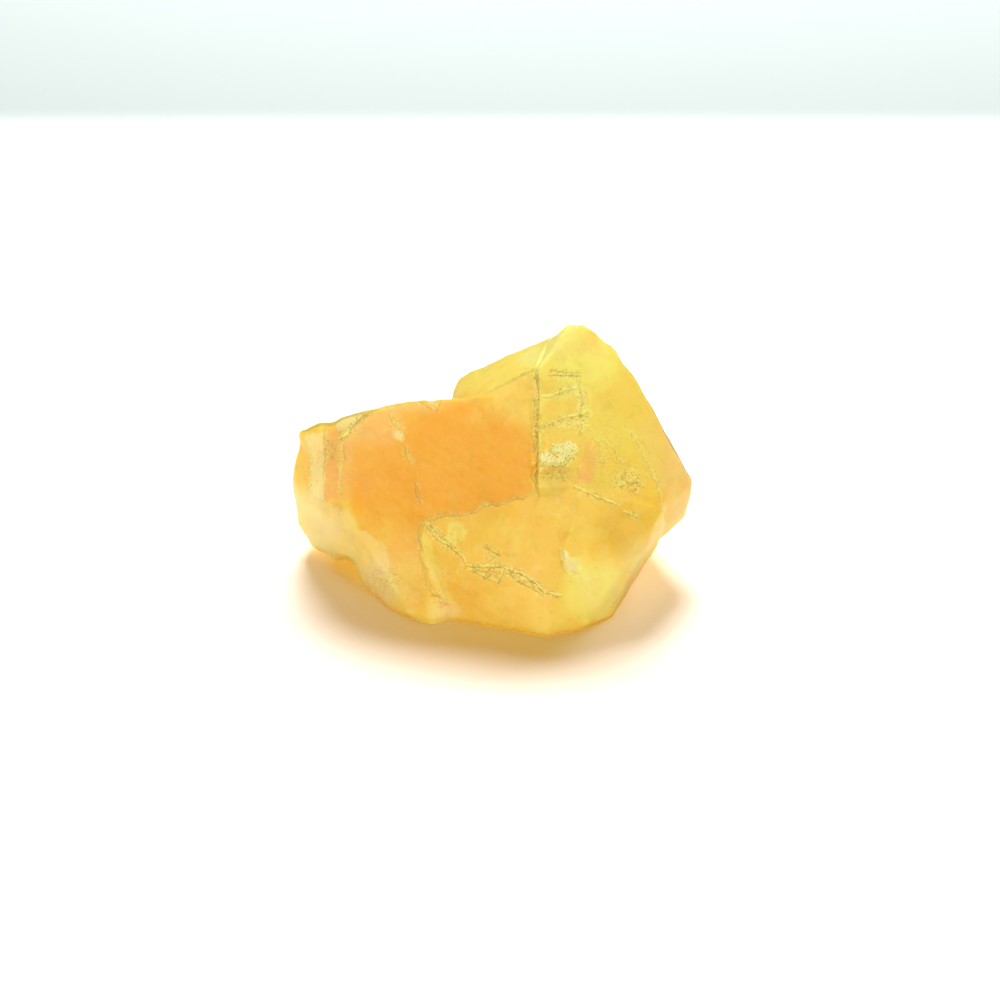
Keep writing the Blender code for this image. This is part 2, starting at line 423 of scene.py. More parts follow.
@dataclass(frozen=True)
class Crack(Mark):
    """A hair-thin crack along a path of places, with a lip on the side above it."""

    path: tuple[Place, ...]
    dark: float = 0.7
    # how strongly the lip above the crack gets its painted highlight
    lip: float = 0.7
    deep: float = 0.07
    high: float = 0.05
    ragged: float = 0.12
    layer: int = 0               # cracks that pass close to each other are in unlike layers

    WIDE = 0.9                   # how far from the crack its distance is still kept
    SURE = 0.7                   # the share of that width within which it is kept whole
    PAST_END = (0.5, 0.1)        # how far past an end the crack is gone, and is still whole
    GROOVE = 0.2                 # how wide the groove is to each side
    LIP_AT = 0.4                 # how far above the groove the lip stands
    LIP_WIDE = 0.25              # how wide the lip is to each side
    BENDS = Noise(WANDER, 1.1, 2)
    SHIFTS = (0.0, 40.0, 80.0)   # where the bends along X, Y and Z are looked up

    @property
    def middle(self) -> Array:
        """The middle of the path."""
        return np.mean(np.array(self.path), axis=0)

    @property
    def extent(self) -> float:
        """The far end of the path, and a little over."""
        return np.linalg.norm(np.array(self.path) - self.middle, axis=1).max() + self.OVER

    def side(self, points: Array) -> tuple[Array, Array]:
        """Measure how far above or below the crack each point is, within the face.

        The distance is taken square to the nearest stretch of a path that noise bends.

        Args:
            points: Places, one row each.

        Returns:
            Distances, above the crack as plus and below it as minus, and how surely a point is
            beside the crack, which fades past its ends.
        """
        bend = np.stack([self.BENDS(points + shift) for shift in self.SHIFTS], axis=1)
        knots = np.array(self.path)
        starts, runs = knots[:-1], np.diff(knots, axis=0)
        length = np.linalg.norm(runs, axis=1)
        ways = runs / length[:, None]
        ups = unit(np.cross(self.face.normal, ways))
        ups = ups * np.where(ups[:, 2:] < 0.0, -1.0, 1.0)
        offset = (points + self.ragged * bend)[:, None, :] - starts[None]
        along = np.sum(offset * ways, axis=2)
        above = np.sum(offset * ups, axis=2)
        over = np.maximum(np.maximum(-along, along - length), 0.0)
        nearest = np.argmin(np.hypot(over, above), axis=1)
        rows = np.arange(len(points))
        above, over = above[rows, nearest], over[rows, nearest]
        out = np.abs((points - self.middle) @ self.face.normal)
        sure = smooth_step(np.hypot(above, over), self.WIDE, self.SURE * self.WIDE) \
            * smooth_step(over, *self.PAST_END) * self.near(out)
        return above, sure

    def depth(self, points: Array) -> Array:
        """Sink a narrow groove, e^-(d/w)², and raise a lip above it.

        Args:
            points: Places, one row each.

        Returns:
            Depths in millimetres.
        """
        above, sure = self.side(points)
        groove = np.exp(-(above / self.GROOVE) ** 2)
        lip = np.exp(-((above - self.LIP_AT) / self.LIP_WIDE) ** 2)
        return sure * (self.deep * groove - self.high * lip)


@dataclass(frozen=True)
class Spot(Mark):
    """A mark around one of its face's points, which can add a tone."""

    x: float
    z: float
    tone: Tone | None = None
    strength: float = 1.0

    @property
    def middle(self) -> Array:
        """The mark's own point on its face."""
        return np.array(self.face.at(self.x, self.z))

    def cover(self, points: Array) -> Array:
        """How much of the mark's tone each point has, from 0 to 1."""
        return np.zeros(len(points))

    def tints(self, points: Array) -> dict[Tone, Array]:
        """The mark's own tone."""
        return {} if self.tone is None else {self.tone: self.strength * self.cover(points)}


@dataclass(frozen=True)
class Steps(Spot):
    """Ledges across a face: a depth for each height, kept within a span along the face."""

    span: tuple[float, float] = (-1.0, 1.0)
    knots: tuple[tuple[float, float], ...] = ()
    slope: float = 0.0           # how far the ledges fall for each millimetre to the right
    ragged: float = 0.2
    grain: float = 1.6

    LEFT_END = 0.15              # how softly the ledges start
    RIGHT_END = 0.3              # how softly they end
    FRAYED = 2.0                 # how much more ragged they end than they start

    @property
    def extent(self) -> float:
        """The far corner of the ledges, and a little over."""
        tallest = max(abs(knot[0]) for knot in self.knots)
        return math.hypot(max(map(abs, self.span)), tallest) + self.OVER

    def depth(self, points: Array) -> Array:
        """Read the profile at a height that wanders, and fade it out at a wandering edge.

        Args:
            points: Places, one row each.

        Returns:
            Depths in millimetres.
        """
        along, up, out = self.face.local(points, self.x, self.z)
        wander = self.ragged * Noise(WANDER, self.grain)(points)
        heights, depths = np.array(self.knots).T
        profile = np.interp(up + self.slope * along + wander, heights, depths)
        left, right = self.span
        started = smooth_step(along + wander, left - self.LEFT_END, left + self.LEFT_END)
        ended = smooth_step(along + self.FRAYED * wander, right + self.RIGHT_END,
                            right - self.RIGHT_END)
        return profile * (started * ended) * self.near(out)


@dataclass(frozen=True)
class Chip(Spot):
    """A chip with straight sides and a tilted floor, its outline given around its own point."""

    outline: tuple[tuple[float, float], ...] = ()
    deep: float = 0.5
    tilt: float = 0.0            # how much deeper the floor gets with each millimetre upwards
    edge: float = 0.12           # how wide its side is
    ragged: float = 0.12

    OVER = 1.0
    FRAY = Noise(WANDER, 0.9, 2)

    @property
    def extent(self) -> float:
        """The far corner of the outline, and a little over."""
        return max(math.hypot(*corner) for corner in self.outline) + self.OVER

    def inside(self, points: Array) -> tuple[Array, Array, Array]:
        """How far points are within the outline, with their height up and out of the face.

        Args:
            points: Places, one row each.

        Returns:
            Distances inside the outline, up the face and out of it.
        """
        along, up, out = self.face.local(points, self.x, self.z)
        wander = self.ragged * self.FRAY(points)
        corners = np.array(self.outline)
        sides = np.roll(corners, -1, axis=0) - corners
        turn = np.sign(np.sum(np.cross(sides, np.roll(sides, -1, axis=0))))
        inward = turn * np.stack([-sides[:, 1], sides[:, 0]], axis=1)
        inward = inward / np.linalg.norm(inward, axis=1, keepdims=True)
        place = np.stack([along, up], axis=1)[:, None, :] - corners[None]
        return np.min(np.sum(place * inward, axis=2), axis=1) + wander, up, out

    def depth(self, points: Array) -> Array:
        """Sink the outline to its tilted floor, with a steep side all round."""
        within, up, out = self.inside(points)
        return (self.deep + self.tilt * up) * smooth_step(within, 0.0, self.edge) * self.near(out)

    def cover(self, points: Array) -> Array:
        """The chip's floor."""
        within, _, out = self.inside(points)
        return smooth_step(within, -self.edge, self.edge) * self.near(out)


@dataclass(frozen=True)
class Rough(Spot):
    """An oval of rough broken grain, sunk a little at its middle."""

    radii: tuple[float, float] = (1.0, 1.0)
    deep: float = 0.2
    grain: float = 0.6
    height: float = 0.12
    turn: float = 0.0            # degrees that the oval leans to the left

    FAR = 1.6                    # radii that noise can carry the oval's edge out to
    FRAY = Noise(WANDER, 1.6)
    FRAYED = 0.35                # the share of the radii that noise moves the edge by
    FADE = (1.15, 0.55)          # the shares of the radii where the oval ends, and is whole
    GRAINS = 433                 # the seed of its grains
    STEEP = 3.0                  # how steep their sides are

    @property
    def extent(self) -> float:
        """As far as noise can carry the oval's edge."""
        return self.FAR * max(self.radii)

    def cover(self, points: Array) -> Array:
        """How much of the oval each point is in, with its edge broken up by noise.

        Args:
            points: Places, one row each.

        Returns:
            Shares from 0 to 1.
        """
        along, up, out = self.face.local(points, self.x, self.z)
        cosine, sine = math.cos(math.radians(self.turn)), math.sin(math.radians(self.turn))
        along, up = along * cosine + up * sine, up * cosine - along * sine
        far = np.hypot(along / self.radii[0], up / self.radii[1])
        far = far + self.FRAYED * self.FRAY(points)
        return smooth_step(far, *self.FADE) * self.near(out)

    def depth(self, points: Array) -> Array:
        """Sink the oval, and break it up with grains that have steep sides."""
        grains = np.clip(self.STEEP * Noise(self.GRAINS, self.grain)(points), -1.0, 1.0)
        return self.cover(points) * (self.deep + self.height * grains)


@dataclass(frozen=True)
class Shell(Spot):
    """A shell-shaped hollow: a ball's cap, with ripples that widen from one side."""

    radius: float = 16.0
    deep: float = 0.8
    ripple: float = 0.05

    SOURCE = (-5.0, -3.0)        # where the ripples start from, along and up the face
    RATE = 7.68                  # radians of ripple for each root of a millimetre from there
    FADE = 0.3                   # the hollow's depth from which they are whole

    @property
    def extent(self) -> float:
        """The hollow's own edge."""
        return math.sqrt(2.0 * self.radius * self.deep)

    def depth(self, points: Array) -> Array:
        """Sink as deep as a ball does that just breaks the face, less a little for each ripple.

        Args:
            points: Places, one row each.

        Returns:
            Depths in millimetres.
        """
        along, up, out = self.face.local(points, self.x, self.z)
        far = np.hypot(along, up)
        cap = np.clip(self.deep - far * far / (2.0 * self.radius), 0.0, None)
        from_source = np.hypot(along - self.SOURCE[0], up - self.SOURCE[1])
        rings = np.sin(self.RATE * np.sqrt(from_source))
        return (cap + self.ripple * rings * smooth_step(cap, 0.0, self.FADE)) * self.near(out)


@dataclass(frozen=True)
class Ribs(Spot):
    """Upright ribs across a face: a depth for each place along X, between two heights."""

    knots: tuple[tuple[float, float], ...] = ()
    rise: tuple[float, float] = (-8.0, 6.0)
    ragged: float = 0.3

    OVER = 2.5
    ENDS = Noise(WANDER, 3.0, 2)
    FRAYED = 1.2                 # how far noise moves the ribs' ends up and down
    BENDS = Noise(467, 1.6)
    STRETCH = (1.0, 1.0, 0.3)    # the bends are drawn out along the ribs
    FOOT = (-1.5, 0.5)           # from the lower end, where the ribs are gone and are whole
    HEAD = 1.0                   # how far past the upper end they are gone

    @property
    def extent(self) -> float:
        """The far corner of the ribs, and a little over."""
        return math.hypot(max(abs(knot[0] - self.x) for knot in self.knots),
                          max(map(abs, self.rise))) + self.OVER

    def depth(self, points: Array) -> Array:
        """Read the profile at an X that noise bends, and fade it out above and below.

        Args:
            points: Places, one row each.

        Returns:
            Depths in millimetres.
        """
        _, up, out = self.face.local(points, self.x, self.z)
        up = up + self.FRAYED * self.ENDS(points)
        bent = points[:, 0] + self.ragged * self.BENDS(points * np.array(self.STRETCH))
        places, depths = np.array(self.knots).T
        low, high = self.rise
        return np.interp(bent, places, depths) * self.near(out) \
            * smooth_step(up, low + self.FOOT[0], low + self.FOOT[1]) \
            * smooth_step(up, high + self.HEAD, high)


@dataclass(frozen=True)
class Swell:
    """A ball-shaped swelling, or a hollow where its height is negative."""

    centre: Place
    radius: float
    height: float

    TOP = 0.25                   # the share of the radius that is raised in full

    def depth(self, points: Array) -> Array:
        """Raise the surface near the centre, fading as 3t² - 2t³."""
        far = np.linalg.norm(points - np.array(self.centre), axis=1)
        return -self.height * smooth_step(far, self.radius, self.TOP * self.radius)


def tower_marks() -> list[Mark]:
    """Steps, the sparkling ledge and the pit under it on the tower's long face.

    Returns:
        The marks.
    """
    face = TOWER_FACE
    return [
        Steps(face, 9.9, 25.1, span=(-4.0, 3.2), slope=0.28, ragged=0.1, grain=2.0, knots=(
            (4.0, 0.0), (4.4, 0.1), (6.9, 0.3), (7.0, 0.0))),
        Steps(face, 9.9, 25.1, span=(-4.0, 3.2), ragged=0.25, knots=(
            (-0.1, 0.0), (0.1, 0.32), (1.5, 0.22), (3.7, 0.36), (4.0, 0.0))),
        Steps(face, 9.8, 20.2, span=(-4.0, 2.7), ragged=0.4, knots=(
            (-3.0, 0.0), (-2.4, 0.35), (-0.5, 0.45), (-0.1, 0.0), (0.3, -0.3), (2.4, -0.1),
            (2.8, 0.0))),
        Rough(face, 9.6, 21.6, Tone.GLINT, 1.0, radii=(2.9, 1.5), deep=-0.05, height=0.1),
        Rough(face, 9.2, 19.3, Tone.GRAIN, 1.0, radii=(2.3, 1.7), deep=0.12, height=0.12),
        # painted shade in the hollow under the pit
        Rough(face, 8.8, 17.0, Tone.SHADE, 0.35, radii=(2.9, 1.2), deep=0.1, height=0.05),
        Rough(face, 13.6, 26.5, Tone.GLINT, 0.8, radii=(1.0, 3.4), deep=0.0, height=0.08),
        Rough(face, 10.2, 25.3, Tone.GLINT, 0.7, radii=(3.4, 0.7), deep=0.0, height=0.08),
        Rough(face, 11.2, 28.6, Tone.GLINT, 0.5, radii=(2.4, 0.6), deep=0.0, height=0.05),
        Rough(face, 20.6, 17.1, Tone.GRAIN, 0.9, radii=(2.0, 1.8), deep=0.1, height=0.12),
        Rough(face, 20.5, 17.7, Tone.GLINT, 0.7, radii=(2.8, 2.3), deep=0.0, height=0.0),
        # painted shade over the sunk panel
        Rough(face, 10.3, 29.6, Tone.SHADE, 0.16, radii=(2.8, 1.5), deep=0.0, height=0.0),
        Crack(face, ((8.3, 2.8, 31.1), (9.4, 3.1, 30.9), (12.8, 4.0, 30.2)), dark=1.0, lip=0.7,
              ragged=0.03),
        Crack(face, ((8.5, 3.4, 31.6), (9.7, 3.6, 31.3), (11.2, 3.9, 30.9)), dark=0.5, lip=0.4,
              deep=0.05, ragged=0.03, layer=1),
        Crack(face, ((7.5, 0.8, 28.6), (8.8, 1.0, 28.5), (9.7, 1.4, 28.8), (10.8, 2.0, 28.9),
                     (12.3, 2.6, 28.9)), dark=0.7, lip=1.0, deep=0.1),
        Crack(face, ((7.5, -1.7, 24.8), (9.4, -0.9, 25.5), (10.8, -0.4, 25.8),
                     (12.5, 0.0, 25.8)), dark=0.5, lip=1.0),
        Crack(face, ((12.9, 3.5, 29.6), (13.0, 1.6, 27.4), (13.2, -0.4, 25.0),
                     (13.0, -1.4, 23.8)), dark=0.7, lip=0.7, ragged=0.35, layer=1),
        Crack(face, ((7.5, -4.7, 20.3), (9.0, -4.8, 20.1), (10.4, -4.5, 20.0),
                     (11.6, -3.7, 20.8)), dark=0.9, lip=0.6, ragged=0.3),
        Crack(face, ((12.2, -6.7, 17.6), (13.9, -6.8, 16.7), (15.8, -6.9, 15.8),
                     (17.0, -7.0, 15.3))),
        Crack(face, ((17.0, -7.0, 15.4), (18.2, -7.0, 14.7)), layer=1),
        Crack(face, ((19.5, -7.4, 13.7), (21.1, -7.5, 13.0)), dark=0.9),
        Crack(face, ((14.5, -1.7, 22.9), (15.8, -1.8, 22.2), (15.7, -2.9, 20.7),
                     (15.9, -3.4, 19.9), (16.9, -3.3, 19.8)), dark=0.3, lip=0.3, deep=0.05,
              ragged=0.05),
        Crack(face, ((16.2, -1.5, 22.4), (18.0, -1.9, 21.1), (18.5, -2.8, 19.9),
                     (20.2, -2.8, 19.1)), dark=0.3, lip=0.3, deep=0.05, layer=1),
        Crack(face, ((20.0, 1.0, 23.3), (21.4, 0.0, 21.3), (22.3, -1.0, 19.8),
                     (23.3, -2.0, 18.2), (24.4, -3.3, 16.1), (25.0, -4.6, 14.3),
                     (25.2, -5.7, 12.4), (24.3, -6.7, 10.9)), dark=0.25, lip=0.5, deep=0.0,
              high=0.03, ragged=0.3),
    ]


def lobe_marks() -> list[Mark]:
    """The broken ridge across the lobe, with the chips beside it.

    Returns:
        The marks.
    """
    face = LOBE_FACE
    return [
        Crack(face, ((-9.8, -6.7, 10.8), (-8.1, -8.5, 9.5), (-6.6, -9.3, 9.0), (-5.5, -10.0, 8.6),
                     (-4.3, -10.8, 8.0), (-3.8, -11.7, 7.1), (-2.5, -12.1, 7.1)),
              dark=0.8, lip=0.9),
        Crack(face, ((-9.0, -6.9, 10.8), (-7.6, -8.2, 9.9), (-6.2, -9.0, 9.4)), dark=0.6,
              lip=0.6, layer=1),
        Crack(face, ((-2.5, -12.1, 7.1), (-0.4, -12.4, 7.4), (1.2, -12.7, 7.6), (4.1, -13.7, 7.2),
                     (5.9, -14.6, 6.5), (7.6, -15.8, 5.4), (9.8, -16.1, 4.9)),
              dark=0.9, lip=1.0, high=0.1),
        Crack(face, ((-2.5, -12.4, 6.6), (-0.7, -13.4, 6.0), (1.0, -14.0, 5.8),
                     (1.7, -13.3, 7.0)), dark=0.9, lip=0.8, layer=1, ragged=0.05),
        Crack(face, ((2.3, -13.4, 7.0), (4.1, -14.5, 6.2), (5.6, -15.1, 5.8), (7.0, -15.8, 5.2)),
              dark=0.9, lip=0.8, layer=1, ragged=0.05),
        Crack(face, ((-1.7, -12.6, 6.9), (0.5, -13.3, 6.6), (1.4, -13.7, 6.4)), dark=0.5,
              lip=0.5, layer=0, ragged=0.05),
        Crack(face, ((-0.9, -10.5, 9.5), (1.0, -11.4, 8.9), (-0.3, -11.8, 8.2)), dark=0.8,
              lip=0.6, ragged=0.03),
        Chip(face, -0.1, 6.7, deep=0.12, ragged=0.05,
             outline=((-2.3, 0.5), (1.7, 0.6), (1.1, -0.9))),
        Chip(face, 0.0, 8.9, deep=0.12, ragged=0.05,
             outline=((-0.8, 0.8), (1.0, 0.1), (-0.3, -0.9))),
        Rough(face, -5.4, 10.5, Tone.GRAIN, 0.25, radii=(1.7, 1.5), deep=0.0, height=0.05),
        Crack(face, ((9.7, -12.3, 10.3), (10.0, -13.2, 8.9), (10.9, -13.9, 7.6)), dark=0.5,
              lip=0.0, deep=0.03, high=0.0, ragged=0.35),
        Rough(face, 12.2, 8.3, Tone.GLINT, 0.4, radii=(1.8, 1.6), deep=0.0, height=0.05),
        Crack(face, ((-11.0, -7.4, 9.6), (-10.7, -9.5, 7.2), (-10.1, -11.4, 5.3),
                     (-9.5, -12.8, 3.8), (-8.5, -13.4, 3.0), (-6.4, -14.4, 1.9)), dark=0.5,
              lip=0.2, deep=0.08, high=0.0, ragged=0.35),
        Rough(face, -8.3, 3.4, Tone.GRAIN, 0.6, radii=(0.8, 2.0), deep=0.05, height=0.08,
              turn=45.0),
        Crack(face, ((-10.8, -7.6, 9.7), (-10.1, -6.4, 11.1), (-8.1, -6.2, 11.9),
                     (-5.3, -6.4, 12.5), (-2.5, -6.6, 13.1), (-1.4, -6.1, 13.9),
                     (1.9, -6.5, 14.6), (3.0, -6.2, 15.2), (5.2, -6.3, 15.8)), dark=0.8,
              lip=0.3, deep=0.05, high=0.0, ragged=0.3, layer=1),
    ]


def slab_marks() -> list[Mark]:
    """The nick in the crest, the streak on the main face and the ribs of the left end.

    Returns:
        The marks.
    """
    return [
        Chip(MAIN_FACE, -8.8, 26.6, Tone.CREAM, 0.4, deep=0.15, ragged=0.05,
             outline=((-1.5, 1.4), (1.1, 1.4), (0.4, -0.9))),
        Crack(MAIN_FACE, ((-10.3, 2.1, 26.7), (-8.1, 1.3, 25.7), (-7.5, 2.1, 27.4)), dark=0.6,
              lip=0.3, ragged=0.05),
        Crack(MAIN_FACE, ((-15.1, 1.6, 24.8), (-14.5, 1.0, 23.7), (-13.5, 0.5, 23.0),
                          (-13.2, -0.1, 22.0)), dark=0.35, lip=0.6),
        Crack(MAIN_FACE, ((-13.0, -0.8, 20.8), (-12.7, -1.4, 19.6), (-12.2, -2.0, 18.8)),
              dark=0.8, lip=0.5, ragged=0.25),
        Crack(MAIN_FACE, ((-11.3, -3.6, 16.0), (-11.0, -4.4, 14.4), (-10.5, -5.0, 13.5)),
              dark=0.7, lip=0.4, ragged=0.3),
        Crack(MAIN_FACE, ((WALL_X, 3.2, 32.0), (WALL_X - 0.5, 2.6, 30.6), (WALL_X, 1.6, 29.0),
                          (WALL_X - 0.3, 0.2, 26.8), (WALL_X, -2.0, 23.4),
                          (WALL_X - 0.2, -3.9, 20.0), (WALL_X - 0.4, -5.4, 17.0)), dark=1.0,
              lip=0.7, deep=0.1, ragged=0.45),
        Crack(MAIN_FACE, ((WALL_X - 0.6, 0.6, 27.6), (WALL_X - 0.8, -1.4, 24.2),
                          (WALL_X - 0.7, -3.0, 21.2)), dark=0.6, lip=0.2, deep=0.04,
              ragged=0.6, layer=1),
        Ribs(LEFT_FACE, -25.0, 15.0, rise=(-4.5, 7.0), knots=(
            (-30.0, 0.0), (-27.6, 0.1), (-27.4, 0.3), (-25.4, 0.15), (-25.1, -0.1),
            (-24.8, 0.1), (-23.1, 0.25), (-22.8, -0.15), (-22.5, 0.1), (-21.0, 0.0))),
        Crack(LEFT_FACE, ((-27.4, 3.6, 19.5), (-27.6, 2.6, 15.7), (-27.9, 1.7, 11.5)),
              dark=0.4, lip=0.5, deep=0.03),
        Crack(LEFT_FACE, ((-24.8, 3.1, 21.1), (-24.9, 1.7, 18.7), (-25.2, 0.1, 15.7),
                          (-25.4, -0.7, 11.7)), dark=0.6, lip=0.6),
        Crack(LEFT_FACE, ((-22.4, 1.8, 21.9), (-22.6, 0.7, 19.9), (-22.8, -0.9, 16.8),
                          (-23.0, -2.7, 13.6)), dark=0.4, lip=0.5),
        Crack(LEFT_FACE, ((-22.0, 0.4, 20.1), (-21.9, -0.6, 18.6)), dark=0.7, lip=0.2, layer=1),
        Crack(LEFT_FACE, ((-23.9, 1.8, 19.9), (-24.0, 0.6, 18.0)), dark=0.6, lip=0.3),
        Rough(LEFT_FACE, -24.0, 19.0, Tone.GRAIN, 0.4, radii=(0.9, 2.5), deep=0.0, height=0.04),
        Rough(LEFT_FACE, -26.2, 16.0, Tone.GRAIN, 0.3, radii=(1.0, 3.5), deep=0.0, height=0.04),
        Rough(LEFT_FACE, -23.3, 11.5, Tone.GRAIN, 0.7, radii=(1.4, 1.3), deep=0.0, height=0.06),
        Crack(LEFT_FACE, ((-22.4, 1.2, 21.0), (-21.4, 1.0, 21.8), (-20.5, 1.4, 23.2),
                          (-19.3, 2.0, 24.5), (-17.7, 2.2, 25.4)), dark=0.8, lip=0.9, deep=0.1,
              high=0.15, ragged=0.05, layer=1),
        Rough(MAIN_FACE, -16.2, 3.0, Tone.GRAIN, 0.5, radii=(3.0, 2.4), deep=0.0, height=0.05),
    ]


def rhomb(width: float, height: float, spin: float) -> tuple[tuple[float, float], ...]:
    """Outline a leaning four-sided break, as cleavage leaves it.

    Args:
        width: Its length along the face.
        height: Its length up the face.
        spin: Degrees that it is turned within the face.

    Returns:
        Its corners around its middle, with upright sides that lean by a share of their height.
    """
    cosine, sine = math.cos(math.radians(spin)), math.sin(math.radians(spin))
    corners = [(side * width / 2 + level * height * CLEAVAGE_LEAN / 2, level * height / 2)
               for side, level in ((-1, 1), (1, 1), (1, -1), (-1, -1))]
    return tuple((x * cosine - z * sine, x * sine + z * cosine) for x, z in corners)


def back_marks() -> list[Mark]:
    """Hollows, steps, chips and cracks on the sides that look away from the main face.

    The hollows and chips have the places, sizes and spins of the solid's own. Chips are given by
    x, height and depth, then by their length along the face, their length up it and their spin.

    Returns:
        The marks.
    """
    shells = (
        (CREST_BACK_FACE, -17.0, 21.0, 22.0, 0.9), (BACK_FACE, -6.5, 13.5, 16.0, 0.7),
        (BACK_LOBE_FACE, 1.5, 12.0, 16.0, 1.1), (TOWER_BACK_FACE, 23.0, 13.5, 18.0, 1.2))
    chips = (
        (CREST_BACK_FACE, -12.0, 24.2, 0.6, (9.0, 2.6, -4)),
        (CREST_BACK_FACE, -5.0, 22.0, 0.7, (2.4, 3.0, 17)),
        (BACK_FACE, -9.5, 14.5, 0.8, (12.0, 3.4, 6)),
        (BACK_FACE, -12.5, 12.0, 1.1, (5.0, 2.4, 6)),
        (BACK_LOBE_FACE, 8.4, 14.2, 0.6, (8.0, 7.0, -8)),
        (BACK_LOBE_FACE, 4.0, 7.0, 0.8, (3.0, 2.2, 15)),
        (TOWER_BACK_FACE, 20.5, 20.0, 0.7, (4.0, 9.0, -16)),
        (TOWER_BACK_FACE, 17.0, 25.5, 0.7, (2.6, 2.0, -16)))
    cracks = (
        (BACK_FACE, 0.6, 0.8, 0.4, 0,
         ((-22.0, 12.5), (-18.5, 11.0), (-14.5, 8.8), (-10.5, 8.2), (-7.0, 6.2))),
        (BACK_FACE, 0.5, 0.5, 0.3, 1, ((-14.5, 8.8), (-13.6, 6.0), (-14.2, 3.5))),
        (CREST_BACK_FACE, 0.5, 0.7, 0.35, 0,
         ((-22.0, 19.0), (-18.0, 20.6), (-13.0, 20.2), (-8.5, 21.0))),
        (BACK_LOBE_FACE, 0.6, 0.8, 0.45, 0,
         ((-4.0, 17.5), (-1.0, 15.0), (1.5, 10.5), (5.5, 9.6), (8.0, 5.0))),
        (TOWER_BACK_FACE, 0.5, 0.7, 0.4, 0,
         ((15.5, 29.0), (18.5, 26.0), (22.5, 23.0), (24.5, 18.5))),
        (TOWER_BACK_FACE, 0.6, 0.6, 0.4, 0, ((17.5, 14.0), (20.0, 11.0), (21.0, 6.0))))
    roughs = (
        (BACK_FACE, -18.0, 8.0, Tone.GRAIN, 0.7, (3.2, 1.8), 0.0),
        (BACK_LOBE_FACE, 3.0, 19.5, Tone.GLINT, 0.6, (3.6, 1.6), -20.0),
        (BACK_LOBE_FACE, 9.0, 4.0, Tone.GRAIN, 0.6, (2.4, 1.6), 0.0),
        (TOWER_BACK_FACE, 24.5, 9.0, Tone.GRAIN, 0.6, (2.4, 2.0), 0.0))
    return [
        *(Shell(face, x, z, radius=radius, deep=deep) for face, x, z, radius, deep in shells),
        *(Chip(face, x, z, deep=deep, outline=rhomb(*sizes), edge=BACK_EDGE, ragged=BACK_RAGGED)
          for face, x, z, deep, sizes in chips),
        *(Crack(face, tuple(face.at(x, z) for x, z in places), dark=dark, lip=lip, ragged=ragged,
                layer=layer)
          for face, dark, lip, ragged, layer, places in cracks),
        *(Rough(face, x, z, tone, strength, radii=radii, deep=0.05, height=0.08, turn=turn)
          for face, x, z, tone, strength, radii, turn in roughs),
    ]


SWELLS = (
    Swell((-26.6, 4.2, 20.2), 3.8, 0.9),
    Swell((-21.9, -5.6, 0.6), 4.0, -1.5),
    Swell((-24.4, -1.6, 0.4), 3.0, -0.6),
    Swell((-14.5, -13.4, 0.4), 4.0, 0.45),
    Swell((19.5, 7.3, 29.2), 6.0, 0.5),
    Swell((28.6, -0.5, 9.3), 6.0, 0.6),
    Swell((12.8, 9.2, 35.2), 5.0, 0.45),
    Swell((16.8, 8.9, 32.3), 4.0, 0.35),
    Swell((22.8, 6.0, 25.0), 5.0, 0.3),
    Swell((-8.6, -14.8, 0.4), 4.5, 0.3),
    Swell((-30.2, 5.0, 11.0), 6.0, 0.3),
    Swell((-21.0, 4.0, 23.2), 4.0, 0.35),
)


# Colour inside the stone

@dataclass(frozen=True)
class Cloud:
    """A soft oval of one tone inside the stone."""

    tone: Tone
    strength: float
    centre: Place
    radii: Place
    soft: float = 0.45           # how much of the oval its edge takes up
    ragged: float = 0.25

    FRAY = Noise(503, 4.0)

    def cover(self, points: Array) -> Array:
        """Fade from the middle of the oval to its edge, which noise makes ragged.

        Args:
            points: Places, one row each.

        Returns:
            Shares from 0 to 1.
        """
        offset = (points - np.array(self.centre)) / np.array(self.radii)
        far = np.linalg.norm(offset, axis=1) + self.ragged * self.FRAY(points)
        return self.strength * smooth_step(far, 1.0 + self.soft, 1.0 - self.soft)


@dataclass(frozen=True)
class Patch:
    """A patch of one tone with a crisp outline, given by places round it on the surface."""

    tone: Tone
    strength: float
    outline: tuple[Place, ...]
    thick: float = 2.0           # how far off the outline's own plane the patch still shows
    ragged: float = 0.2

    FRAY = Noise(WANDER, 1.3, 2)
    SHIFTS = (200.0, 260.0)      # where the fraying across and up the patch is looked up
    UP = (0.0, 0.3, 1.0)         # roughly up; no patch looks this way

    def within(self, points: Array) -> Array:
        """Measure how far each point is inside the outline, seen square to its plane.

        The plane's normal is the sum of the cross products of neighbouring corners. A point is
        inside when a line from it crosses the sides an odd number of times.

        Args:
            points: Places, one row each.

        Returns:
            Distances to the outline, inside as plus and outside as minus.
        """
        corners = np.array(self.outline)
        middle = corners.mean(axis=0)
        arms = corners - middle
        normal = unit(np.cross(arms, np.roll(arms, -1, axis=0)).sum(axis=0))
        across = unit(np.cross(normal, self.UP))
        frame = np.stack([across, np.cross(normal, across)], axis=1)
        flat = arms @ frame
        sides = np.roll(flat, -1, axis=0) - flat
        offset = points - middle
        place = offset @ frame + self.ragged * np.stack(
            [self.FRAY(points + shift) for shift in self.SHIFTS], axis=1)
        apart = place[:, None, :] - flat[None]
        share = np.clip(np.sum(apart * sides, axis=2) / np.sum(sides * sides, axis=1), 0.0, 1.0)
        far = np.linalg.norm(apart - share[..., None] * sides, axis=2).min(axis=1)
        rise = apart[..., 1]
        with np.errstate(divide="ignore", invalid="ignore"):
            reach = sides[:, 0] * rise / sides[:, 1]
        crossed = ((rise >= 0.0) != (rise >= sides[:, 1])) & (apart[..., 0] < reach)
        inside = np.where(crossed.sum(axis=1) % 2 == 1, far, -far)
        return inside - np.clip(np.abs(offset @ normal) - self.thick, 0.0, None)


